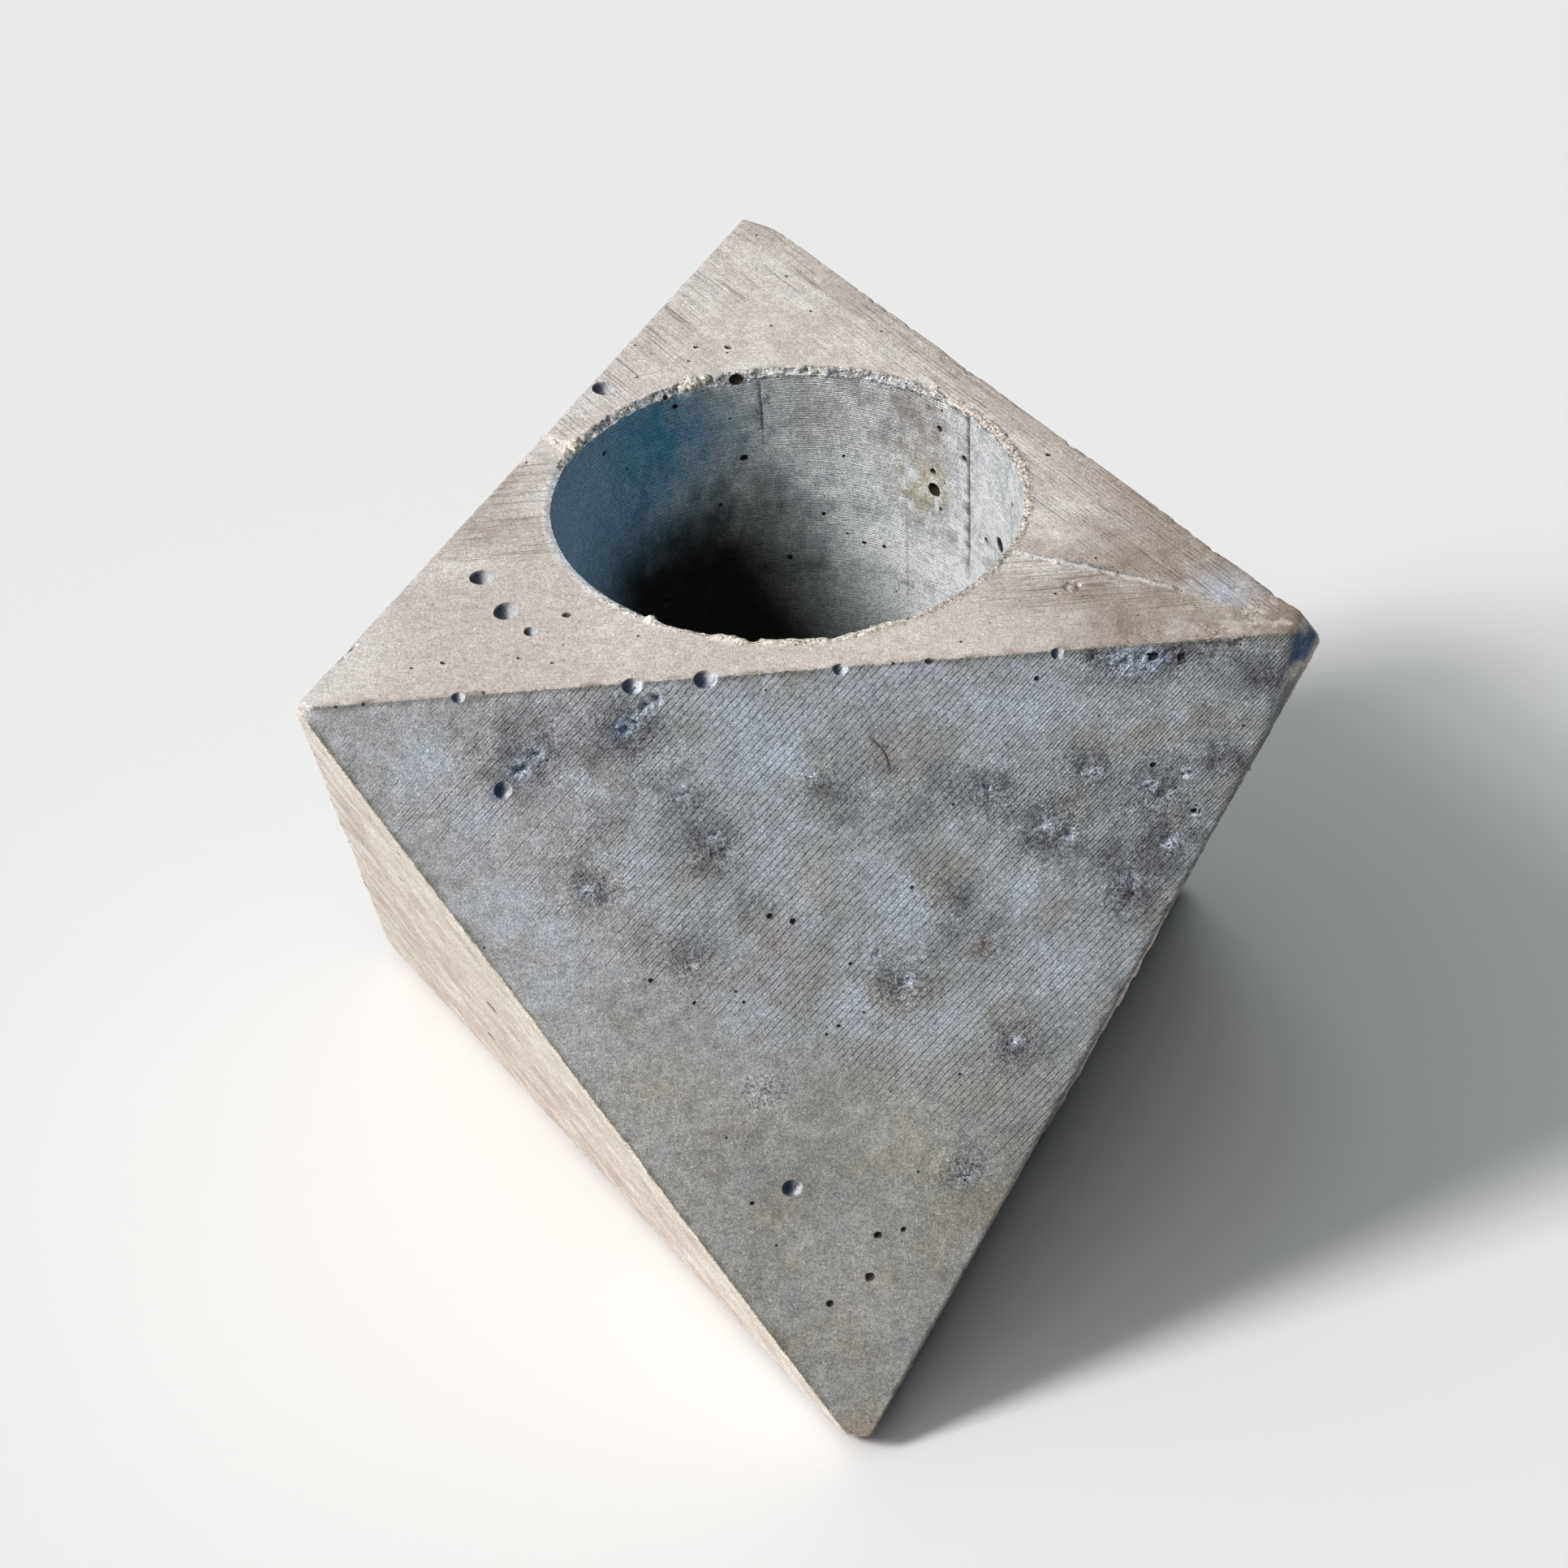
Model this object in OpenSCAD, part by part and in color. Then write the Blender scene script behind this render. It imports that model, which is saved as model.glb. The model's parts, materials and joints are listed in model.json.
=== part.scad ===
// Geometric concrete planter: a regular octahedron lying on one face, cast in
// one piece, with a round planting well in its top face and three cork pads
// under it. The origin is on the table under the middle of the planter, +Z is
// up, and the arris that faces the viewer runs along X. All sizes are in mm.

/* [Body] */
// Length of an edge of the octahedron, before its corners are clipped
edge_length = 86; // [80:1:120]
// Depth clipped off each corner, on the line from the corner to the centre
corner_clip = 1.2; // [0.6:0.1:3]
// Depth taken off each arris, on the line from the arris to the centre
arris_ease = 0.2; // [0.1:0.05:0.6]

/* [Planting well] */
// Diameter of the well's straight wall
well_diameter = 41; // [25:1:45]
// Depth of the well, from the top face to its floor
well_depth = 52; // [25:1:60]
// Width and depth of the broken edge round the mouth
rim_bevel = 0.8; // [0.2:0.1:1.5]
// Width and height of the slope where the wall meets the floor
floor_slope = 2; // [0.5:0.5:6]

/* [Mould seam] */
// Width of the raised line that the joint of the mould left
seam_width = 0.9; // [0.4:0.1:2]
// Height of that line above the faces that it crosses
seam_height = 0.4; // [0.1:0.1:1]

/* [Air voids] */
// Share of a void's radius that lies outside the face it opens in
void_lift = 0.2; // [0:0.05:0.6]

/* [Cork pads] */
// Diameter of a pad
pad_diameter = 10; // [6:0.5:16]
// Thickness of a pad
pad_thickness = 1; // [0.5:0.1:3]
// Space between a pad and each of the two base arrises beside it
pad_inset = 5; // [3:0.5:10]

/* [Hidden] */

// Opposite faces of a regular octahedron lie this far apart
rise = edge_length * sqrt(2 / 3);
// Opposite corners lie this far apart
corner_to_corner = edge_length * sqrt(2);
// Corners of the top and bottom triangles lie this far from the upright axis
corner_radius = edge_length / sqrt(3);
base_z = pad_thickness;
top_z = base_z + rise;

// Tilt from upright of the line from the centre to each kind of feature
side_face_tilt = acos(1 / 3);
corner_tilt = acos(1 / sqrt(3));
level_arris_tilt = acos(sqrt(2 / 3));
sloping_arris_tilt = 90;

// Headings of the corners, anticlockwise from +X
far_heading = 90;
left_heading = 210;
right_heading = 330;
front_heading = 270;
back_left_heading = 150;
back_right_heading = 30;

// The mould parts along the upright plane through two opposite corners
seam_heading = right_heading;

// A cutter or a slab reaches past the body by this much or more
overshoot = 20;
slab_side = corner_to_corner + 2 * overshoot;

// Air voids of the top face: distance from its left corner along the front
// arris, distance in from that arris, and width of the mouth
TOP_VOIDS = [
    [15.8, 16.3, 2.3],
    [17.8, 11.2, 2.5],
    [19.8, 8.1, 1.3],
    [22.9, 10.0, 0.8],
    [65.9, 8.9, 1.8]
];
// Voids of the top face beside its left arris, from the same corner
LEFT_ARRIS_VOIDS = [
    [52.1, 1.5, 2.3]
];
// Voids of the front face: along the front arris, down the face, width
FRONT_VOIDS = [
    [13.6, 0.2, 1.0],
    [28.0, 0.3, 1.5],
    [34.2, 0.1, 1.9],
    [45.3, 0.2, 1.2],
    [63.4, 0.2, 1.3],
    [16.6, 8.7, 1.8],
    [28.3, 2.8, 1.6],
    [38.5, 47.4, 1.8]
];

function ring_point(heading, z) = [
    corner_radius * cos(heading),
    corner_radius * sin(heading),
    z
];
top_far = ring_point(far_heading, top_z);
top_left = ring_point(left_heading, top_z);
top_right = ring_point(right_heading, top_z);
base_front = ring_point(front_heading, base_z);

function unit(v) = v / norm(v);

// The point of a face that lies a distance along one arris and a distance in
// from it towards the third corner, lifted off the face by lift
function face_point(start, end, third, along, in, lift) =
    let (
        along_dir = unit(end - start),
        to_third = third - start,
        in_dir = unit(to_third - (to_third * along_dir) * along_dir),
        out_dir = unit(cross(along_dir, in_dir))
    )
    start + along * along_dir + in * in_dir + lift * out_dir;

// Two parallel faces, as one thick slab about the octahedron's centre. Its
// upper face looks along the given heading and tilt.
module slab(thickness, tilt, heading)
    rotate([0, tilt, heading])
        cube([slab_side, slab_side, thickness], center = true);

// The clipped and eased octahedron, with every face moved out by grow. Each
// pair of opposite faces, corners or arrises is one slab.
module crystal(grow = 0)
    translate([0, 0, base_z + rise / 2])
        intersection() {
            slab(rise + 2 * grow, 0, 0);
            intersection_for(turn = [0, 120, 240]) {
                intersection() {
                    slab(rise + 2 * grow, side_face_tilt, front_heading + turn);
                    slab(corner_to_corner + 2 * (grow - corner_clip),
                         corner_tilt, far_heading + turn);
                    slab(edge_length + 2 * (grow - arris_ease),
                         level_arris_tilt, front_heading + turn);
                    slab(edge_length + 2 * (grow - arris_ease),
                         sloping_arris_tilt, turn);
                }
            }
        }

// The raised line where the mould parted. The base was rubbed flat, so the
// line stops there.
module mould_seam()
    intersection() {
        crystal(grow = seam_height);
        rotate([0, 0, seam_heading])
            translate([-slab_side / 2, -seam_width / 2, base_z])
                cube([slab_side, seam_width, rise + overshoot]);
    }

// The hollow that the core left: a straight wall, a slope down to the floor
// and the broken rim
module planting_well() {
    well_radius = well_diameter / 2;
    floor_z = top_z - well_depth;
    translate([0, 0, floor_z + floor_slope])
        cylinder(h = well_depth - floor_slope + overshoot, r = well_radius, $fn = 96);
    translate([0, 0, floor_z])
        cylinder(h = floor_slope, r1 = well_radius - floor_slope, r2 = well_radius, $fn = 96);
    translate([0, 0, top_z - rim_bevel])
        cylinder(h = 2 * rim_bevel, r1 = well_radius, r2 = well_radius + 2 * rim_bevel, $fn = 96);
}

// One round void whose mouth in the face has the given width
module air_void(mouth) {
    void_radius = mouth / 2 / sqrt(1 - pow(void_lift, 2));
    sphere(r = void_radius, $fn = 24);
}

// The voids of one face, given its first arris and its third corner
module face_voids(voids, start, end, third)
    for (v = voids)
        translate(face_point(start, end, third, v[0], v[1], void_lift * v[2] / 2))
            air_void(v[2]);

module planter_body()
    color([0.70, 0.68, 0.65])
        difference() {
            union() {
                crystal();
                mould_seam();
            }
            planting_well();
            face_voids(TOP_VOIDS, top_left, top_right, top_far);
            face_voids(LEFT_ARRIS_VOIDS, top_left, top_far, top_right);
            face_voids(FRONT_VOIDS, top_left, top_right, base_front);
        }

// One cork pad, a flat disc under the base on the line to one base corner
module cork_pad(heading) {
    pad_radius = pad_diameter / 2;
    // The base arrises meet at 60 degrees, so half of that is 30
    from_corner = (pad_radius + pad_inset) / sin(30);
    color([0.72, 0.53, 0.34])
        rotate([0, 0, heading])
            translate([corner_radius - from_corner, 0, 0])
                cylinder(h = pad_thickness, r = pad_radius, $fn = 64);
}

planter_body();
cork_pad(front_heading);  // cork_pad_front
cork_pad(back_left_heading);  // cork_pad_back_left
cork_pad(back_right_heading);  // cork_pad_back_right
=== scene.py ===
# %% [markdown]
# # A geometric concrete planter
# The real thing is one concrete casting: a regular octahedron lying on one face,
# with a round well for a small plant in its flat top. It was cast in a mould made
# layer by layer, which left fine lines on every face, a raised seam, small broken
# corners and the little holes of trapped air. Three thin cork pads are stuck
# underneath. The concrete is modelled and finished here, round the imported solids.

import json
import math
import random

import bmesh
import bpy
import numpy as np
from mathutils import Matrix, Vector, noise

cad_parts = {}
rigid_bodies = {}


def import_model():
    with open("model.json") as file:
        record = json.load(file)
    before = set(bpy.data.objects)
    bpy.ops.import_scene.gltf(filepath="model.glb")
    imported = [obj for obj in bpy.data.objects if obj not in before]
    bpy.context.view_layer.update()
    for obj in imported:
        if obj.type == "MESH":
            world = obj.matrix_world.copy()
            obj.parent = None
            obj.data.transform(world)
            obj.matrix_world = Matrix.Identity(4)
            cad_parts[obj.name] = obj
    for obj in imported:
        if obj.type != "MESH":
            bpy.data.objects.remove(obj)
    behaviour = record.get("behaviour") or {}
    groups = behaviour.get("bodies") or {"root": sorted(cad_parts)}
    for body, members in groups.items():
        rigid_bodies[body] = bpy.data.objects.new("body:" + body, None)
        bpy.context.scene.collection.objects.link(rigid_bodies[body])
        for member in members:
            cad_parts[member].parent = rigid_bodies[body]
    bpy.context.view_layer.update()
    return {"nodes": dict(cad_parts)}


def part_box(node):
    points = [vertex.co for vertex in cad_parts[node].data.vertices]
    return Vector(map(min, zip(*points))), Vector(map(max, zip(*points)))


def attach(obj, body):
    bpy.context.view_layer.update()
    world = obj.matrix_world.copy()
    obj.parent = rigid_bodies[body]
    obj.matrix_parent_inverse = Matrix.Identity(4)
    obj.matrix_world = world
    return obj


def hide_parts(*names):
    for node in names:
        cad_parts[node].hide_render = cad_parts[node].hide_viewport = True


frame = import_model()
print("solids:", sorted(frame["nodes"]))

# %% [markdown]
# ## Measures and corners
# The shapes are worked in millimetres and scaled to metres at the end, because a
# printed line of 0.4 mm is easier to read than one of 0.0004 m. One length, the
# edge of the octahedron, sets all the others. Its six corners get names, and
# every face is known by three of them.

# %% Measures and corners
MM = 0.001
EDGE = 86.0
CORNER_REACH = EDGE / math.sqrt(3)
BODY_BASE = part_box("cork_pad_front")[1].z / MM
BODY_TOP = BODY_BASE + EDGE * math.sqrt(2 / 3)
WELL_RADIUS = 20.5
WELL_DEPTH = 52.0
# The mould was not quite true: one hidden corner of the base lies further in
BASE_SHORTFALL = 1.3


def on_ring(heading, reach, height):
    """A place at a heading in degrees from +X, so far from the axis and so high."""
    turn = math.radians(heading)
    return np.array([reach * math.cos(turn), reach * math.sin(turn), height])


CORNERS = {
    "far": on_ring(90, CORNER_REACH, BODY_TOP),
    "left": on_ring(210, CORNER_REACH, BODY_TOP),
    "right": on_ring(330, CORNER_REACH, BODY_TOP),
    "base_front": on_ring(270, CORNER_REACH, BODY_BASE),
    "base_left": on_ring(150, CORNER_REACH, BODY_BASE),
    "base_right": on_ring(30, CORNER_REACH, BODY_BASE),
}
CORNERS["base_right"][0] -= BASE_SHORTFALL
CENTRE = np.array([0.0, 0.0, (BODY_BASE + BODY_TOP) / 2])

# Each face starts at its first corner, runs along to its second and in to its third
FACES = {
    "top": ("left", "right", "far"),
    "front": ("left", "right", "base_front"),
    "left": ("left", "base_front", "base_left"),
    "back_left": ("left", "far", "base_left"),
    "right": ("right", "base_front", "base_right"),
    "back_right": ("right", "far", "base_right"),
    "back": ("base_left", "base_right", "far"),
    "base": ("base_left", "base_right", "base_front"),
}
print("body height %.2f mm on pads of %.2f mm" % (BODY_TOP - BODY_BASE, BODY_BASE))

# %% [markdown]
# ## Directions on a face
# A hole or a stain is placed by how far it lies along a face's first arris and
# how far in from it, as it would be measured with a ruler on the real casting.

# %% Directions on a face
def unit(v):
    return v / np.linalg.norm(v)


def facing(normal, outward):
    """The normal or its opposite, whichever of them looks outward."""
    return -normal if np.dot(normal, outward) < 0 else normal


class FaceFrame:
    """The ruler of one face: its corner, its two directions and its outward normal."""

    def __init__(self, name):
        start, end, third = [CORNERS[c] for c in FACES[name]]
        self.start = start
        self.along = unit(end - start)
        lean = third - start
        self.inward = unit(lean - np.dot(lean, self.along) * self.along)
        self.normal = facing(np.cross(self.along, self.inward), start - CENTRE)

    def point(self, along, inward, lift=0.0):
        return self.start + along * self.along + inward * self.inward + lift * self.normal

    def measure(self, points):
        """How far points lie along the face, in from its first arris, and off it."""
        away = points - self.start
        return away @ self.along, away @ self.inward, away @ self.normal


RULERS = {name: FaceFrame(name) for name in FACES}
print("faces:", ", ".join(RULERS))

# %% [markdown]
# ## Measuring on the casting
# Wear, colours and the mesh all depend on how far a point lies from a corner, an
# arris or the well. Most of them fade in or out with it, and noise makes them uneven.

# %% Measuring on the casting
def out_from_axis(points):
    return np.hypot(points[:, 0], points[:, 1])


def depth_below_top(points):
    return BODY_TOP - points[:, 2]


def angle_round_well(points):
    """Angle in degrees from +X, from -180 to 180."""
    return np.degrees(np.arctan2(points[:, 1], points[:, 0]))


def distance_to_corner(points, name):
    return np.linalg.norm(points - CORNERS[name], axis=1)


def distance_to_arris(points, start, end):
    """Distance from each point to the line between two corners."""
    along = unit(CORNERS[end] - CORNERS[start])
    away = points - CORNERS[start]
    return np.linalg.norm(away - np.outer(away @ along, along), axis=1)


def fade(values, start, end):
    """0 up to start, 1 from end on, and a smooth change between."""
    t = np.clip((values - start) / (end - start), 0, 1)
    return t * t * (3 - 2 * t)


def fall(values, start, end):
    """1 up to start, 0 from end on, and a smooth change between."""
    return 1 - fade(values, start, end)


def peak(values, middle, width):
    """1 at the middle, and smoothly down to 0 on both sides of it."""
    return np.exp(-((values - middle) / width) ** 2)


def ripple(points, size, seed=0, octaves=2):
    """Smooth noise from about -1 to 1, whose waves are about size millimetres long."""
    shift = Vector((seed * 13.1, seed * 7.7, seed * 3.3))
    scale = 1 / size
    return np.array([noise.fractal(Vector(p) * scale + shift, 1.0, 2.0, octaves) for p in points])


print("from one corner to the next: %.1f mm" % distance_to_corner(CORNERS["left"][None], "right")[0])

# %% [markdown]
# ## The camera
# The photograph was taken from above, a little to the left, looking down into the
# well. The place, turn and lens were found by fitting the octahedron's corners to
# the photograph, so the cell ends by printing where the corners fall in it.

# %% The camera
PHOTO_SIZE = 1932
SENSOR = 36.0
LENS = 83.99
CAMERA_PLACE = (-0.013860, -0.264366, 0.256202)
# How far the camera is turned to the left, looks down, and is rolled, in degrees
CAMERA_HEADING = -2.634
CAMERA_DOWN = 39.42
CAMERA_ROLL = -2.73


def add_object(name, data):
    """A new object in the scene."""
    thing = bpy.data.objects.new(name, data)
    bpy.context.scene.collection.objects.link(thing)
    return thing


camera_data = bpy.data.cameras.new("camera")
camera_data.lens = LENS
camera_data.sensor_width = SENSOR
camera = add_object("camera", camera_data)
camera.matrix_world = (
    Matrix.Translation(CAMERA_PLACE)
    @ Matrix.Rotation(math.radians(CAMERA_HEADING), 4, "Z")
    @ Matrix.Rotation(math.radians(90 - CAMERA_DOWN), 4, "X")
    @ Matrix.Rotation(math.radians(CAMERA_ROLL), 4, "Z")
)
bpy.context.scene.camera = camera

for corner_name, corner in CORNERS.items():
    seen = camera.matrix_world.inverted() @ Vector(corner * MM)
    scale = PHOTO_SIZE * camera_data.lens / SENSOR / -seen.z
    print("%-11s at pixel %7.1f %7.1f" % (
        corner_name, PHOTO_SIZE / 2 + scale * seen.x, PHOTO_SIZE / 2 - scale * seen.y))

# %% [markdown]
# ## Floor and light
# A white table top, a tall window on the left and the pale ceiling above it. The
# window is two narrow sun lamps, one above another, and the ceiling is a very wide
# one: the shadow is dark and sharp at the foot of the planter and melts away
# behind. The table throws light back up, which brightens the overhanging left face.

# %% Floor and light
# Half the width of the table top, in metres
FLOOR_REACH = 4
FLOOR_COLOUR = (0.905, 0.878, 0.872, 1)
WINDOW_HEADING = 195.3
# Each lamp: height above the table and spread in degrees, strength, colour
LAMPS = {
    "window_low": (38, 13, 1.74, (1.0, 0.98, 0.985)),
    "window_high": (46, 13, 1.00, (1.0, 0.98, 0.985)),
    "ceiling": (73, 80, 1.20, (0.90, 1.0, 0.98)),
}
ROOM_LIGHT = (0.001, 0.008, 0.013, 1)
PAGE_WHITE = (0.90, 0.90, 0.89, 1)


def make_floor():
    bm = bmesh.new()
    bmesh.ops.create_grid(bm, x_segments=1, y_segments=1, size=FLOOR_REACH)
    mesh = bpy.data.meshes.new("floor")
    bm.to_mesh(mesh)
    bm.free()
    material = bpy.data.materials.new("white_table")
    material.use_nodes = True
    shader = material.node_tree.nodes["Principled BSDF"]
    shader.inputs["Base Color"].default_value = FLOOR_COLOUR
    shader.inputs["Roughness"].default_value = 0.7
    shader.inputs["Specular IOR Level"].default_value = 0
    mesh.materials.append(material)
    return add_object("floor", mesh)


def make_lamps():
    for name, (height, spread, strength, colour) in LAMPS.items():
        lamp = bpy.data.lights.new(name, "SUN")
        lamp.energy = strength
        lamp.angle = math.radians(spread)
        lamp.color = colour
        turn = Matrix.Rotation(math.radians(WINDOW_HEADING), 3, "Z")
        lean = Matrix.Rotation(math.radians(90 - height), 3, "Y")
        add_object(name, lamp).rotation_euler = (turn @ lean).to_euler()


def make_room():
    """The room lights the object weakly, and shows white where the camera sees past the floor."""
    world = bpy.data.worlds.new("room")
    bpy.context.scene.world = world
    world.use_nodes = True
    nodes, links = world.node_tree.nodes, world.node_tree.links
    room = nodes["Background"]
    room.inputs["Color"].default_value = ROOM_LIGHT
    page = nodes.new("ShaderNodeBackground")
    page.inputs["Color"].default_value = PAGE_WHITE
    rays = nodes.new("ShaderNodeLightPath")
    choose = nodes.new("ShaderNodeMixShader")
    links.new(rays.outputs["Is Camera Ray"], choose.inputs["Fac"])
    links.new(room.outputs[0], choose.inputs[1])
    links.new(page.outputs[0], choose.inputs[2])
    links.new(choose.outputs[0], nodes["World Output"].inputs["Surface"])


make_floor()
make_lamps()
make_room()
bpy.context.scene.view_settings.view_transform = "Standard"
print("lamps:", ", ".join(LAMPS))

# %% [markdown]
# ## The crystal
# The casting starts as the hull of the six corners. The mould did not fill into
# its sharp corners, so each corner is a small broken facet of its own size, cut
# square across at measured distances along three of the arrises that meet there.

# %% The crystal
# How far along each arris a corner is cut off, in millimetres
CORNER_CUTS = {
    "far": {"left": 1.7, "right": 4.4, "base_left": 2.2},
    "left": {"far": 0.9, "right": 1.5, "base_front": 2.4},
    "right": {"far": 3.4, "left": 3.4, "base_front": 2.3},
    "base_front": {"left": 2.6, "right": 2.2, "base_right": 2.4},
    "base_left": {"left": 1.7, "base_front": 1.7, "far": 1.9},
    "base_right": {"right": 1.8, "base_front": 1.7, "far": 1.7},
}
ARRIS_ROUNDING = 0.2
# One arris is worn away more and more towards the right corner: how far it reaches, how deep
TAPER_END = "base_front"
TAPER_REACH = 12.0
TAPER_DEPTH = 1.7
# The right corner broke off rough, and its facet has rounder edges
ROUND_CORNER = "right"
SHARP = 35
CORNER_ROUNDING = 0.8


def slice_off(bm, point, normal):
    """Cut away what lies beyond a plane and close the cut with a new face."""
    cut = bmesh.ops.bisect_plane(
        bm, geom=bm.verts[:] + bm.edges[:] + bm.faces[:],
        plane_co=Vector(point), plane_no=Vector(normal), clear_outer=True)
    rim = [e for e in cut["geom_cut"] if isinstance(e, bmesh.types.BMEdge)]
    bmesh.ops.contextual_create(bm, geom=rim)


def tapered_wear():
    """The plane that wears one arris away towards the round corner."""
    corner = CORNERS[ROUND_CORNER]
    run = unit(CORNERS[TAPER_END] - corner)
    outward = unit(RULERS["front"].normal + RULERS["right"].normal)
    sideways = np.cross(run, outward)
    slope = unit(TAPER_REACH * run + TAPER_DEPTH * outward)
    return corner + TAPER_REACH * run, facing(np.cross(slope, sideways), outward)


def round_edges(bm, edges, width, segments):
    bmesh.ops.bevel(bm, geom=edges, offset=width, offset_type="OFFSET", segments=segments,
                    profile=0.5, affect="EDGES", material=-1, clamp_overlap=True)


def make_crystal():
    bm = bmesh.new()
    for corner in CORNERS.values():
        bm.verts.new(corner)
    bmesh.ops.convex_hull(bm, input=bm.verts[:])
    for name, cuts in CORNER_CUTS.items():
        corner = CORNERS[name]
        a, b, c = [corner + cut * unit(CORNERS[other] - corner) for other, cut in cuts.items()]
        slice_off(bm, a, facing(unit(np.cross(b - a, c - a)), corner - CENTRE))
    slice_off(bm, *tapered_wear())
    bmesh.ops.dissolve_limit(bm, angle_limit=math.radians(1), verts=bm.verts[:], edges=bm.edges[:])
    corner = Vector(CORNERS[ROUND_CORNER])
    facet = min(bm.faces, key=lambda face: (face.calc_center_median() - corner).length)
    round_edges(bm, facet.edges[:], CORNER_ROUNDING, 2)
    sharp = [e for e in bm.edges if e.calc_face_angle(0) > math.radians(SHARP)]
    round_edges(bm, sharp, ARRIS_ROUNDING, 1)
    bmesh.ops.recalc_face_normals(bm, faces=bm.faces[:])
    return bm


crystal = make_crystal()
print("crystal: %d faces" % len(crystal.faces))

# %% [markdown]
# ## Blocks
# A large flat face can't be made finer evenly, because every cut would start from
# its few far corners. The crystal is first sliced into blocks of a few
# millimetres by level and upright planes. The same slicing marks both sides of
# the seam, which lies in the upright plane through the right corner.

# %% Blocks
BLOCK = 5.0
BLOCK_SHIFT = 0.37
SEAM_HEADING = 330
SEAM_REACH = 0.8


def slice_into_blocks(bm):
    """Slice the mesh by level and upright planes, and along both sides of the seam."""
    heading = math.radians(SEAM_HEADING + 90)
    across_seam = Vector((math.cos(heading), math.sin(heading), 0))
    planes = [(across_seam * side, across_seam) for side in (-SEAM_REACH, 0, SEAM_REACH)]
    for axis in (Vector((1, 0, 0)), Vector((0, 1, 0)), Vector((0, 0, 1))):
        reach = int(BODY_TOP // BLOCK) + 1
        planes += [(axis * (BLOCK * step + BLOCK_SHIFT), axis) for step in range(-reach, reach)]
    for point, normal in planes:
        bmesh.ops.bisect_plane(bm, geom=bm.verts[:] + bm.edges[:] + bm.faces[:],
                               plane_co=point, plane_no=normal, dist=1e-5)


slice_into_blocks(crystal)
print("sliced crystal: %d faces" % len(crystal.faces))

# %% [markdown]
# ## The core of the well
# The well is the print of a round core that stood in the mould. The core leaned a
# little, so the wall starts further out on the left, and the mouth broke away by a
# different amount all round when it was pulled. The core is spun from half of its
# outline, and then its top is opened at each angle by what the photograph shows.

# %% The core of the well
# Angle round the well in degrees from +X, then width and depth of the broken edge
MOUTH_BREAK = [
    (-180, 0.50, 0.14), (-150, 0.45, 0.12), (-135, 0.35, 0.15), (-122, 0.30, 0.25),
    (-112, 0.25, 0.20), (-104, 0.65, 0.30), (-80, 0.70, 0.35), (-72, 0.25, 0.20),
    (-66, 0.12, 0.12), (-32, 0.10, 0.10), (-20, 0.35, 0.30), (5, 0.70, 0.45),
    (26, 0.70, 0.50), (34, 0.35, 0.40), (60, 0.55, 0.60), (88, 0.50, 0.70),
    (107, 0.80, 0.80), (125, 0.75, 0.70), (150, 0.90, 0.60), (160, 0.60, 0.25), (180, 0.50, 0.14),
]
# How far out the top of the wall lies at some angles, from the core's lean
CORE_LEAN = [(-180, 0.6), (-150, 0.35), (-122, 0.0), (100, 0.0), (150, 0.4), (180, 0.6)]
LEAN_DEPTH = 30.0
FLOOR_SLOPE = 2.0
CORE_STEPS = 96
CORE_RINGS = 10
CORE_OVERSHOOT = 3.0


def mouth_break(angles):
    """Width and depth of the broken edge at some angles round the well."""
    table = np.array(MOUTH_BREAK)
    return [np.interp(angles, table[:, 0], table[:, column]) for column in (1, 2)]


def wall_radius(angles, depth):
    """Radius of the wall at some angles and depths below the top face."""
    table = np.array(CORE_LEAN)
    lean = np.interp(angles, table[:, 0], table[:, 1])
    return WELL_RADIUS + lean * np.clip(1 - np.asarray(depth) / LEAN_DEPTH, 0, 1)


def make_core():
    well_floor = BODY_TOP - WELL_DEPTH
    wall_heights = np.linspace(well_floor + FLOOR_SLOPE, BODY_TOP, CORE_RINGS)
    outline = [(0, well_floor), (WELL_RADIUS - FLOOR_SLOPE, well_floor)]
    outline += [(WELL_RADIUS, z) for z in wall_heights]
    outline += [(WELL_RADIUS, BODY_TOP + CORE_OVERSHOOT), (0, BODY_TOP + CORE_OVERSHOOT)]
    bm = bmesh.new()
    half = [bm.verts.new((r, 0, z)) for r, z in outline]
    strip = [bm.edges.new(pair) for pair in zip(half, half[1:])]
    bmesh.ops.spin(bm, geom=half + strip, cent=(0, 0, 0), axis=(0, 0, 1), dvec=(0, 0, 0),
                   angle=math.tau, steps=CORE_STEPS, use_merge=True, use_duplicate=False)
    bmesh.ops.remove_doubles(bm, verts=bm.verts[:], dist=1e-4)
    for v in bm.verts:
        reach = math.hypot(v.co.x, v.co.y)
        if reach < WELL_RADIUS - 0.1:
            continue
        angle = math.degrees(math.atan2(v.co.y, v.co.x))
        width, depth = [float(size) for size in mouth_break(angle)]
        wanted = float(wall_radius(angle, max(0, BODY_TOP - v.co.z)))
        if abs(v.co.z - BODY_TOP) < 1e-4:
            v.co.z -= depth
        elif v.co.z > BODY_TOP:
            wanted += width * (1 + CORE_OVERSHOOT / depth)
        v.co.x *= wanted / reach
        v.co.y *= wanted / reach
    bmesh.ops.recalc_face_normals(bm, faces=bm.faces[:])
    return bm


core = make_core()
print("core: %d faces" % len(core.faces))

# %% [markdown]
# ## Air voids
# Bubbles that stuck to the mould left round holes. The larger ones are cut as
# slightly squashed balls, each placed with a face's ruler as along, in and mouth
# width. They stay clear of one another, so that the cut is clean.

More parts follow.
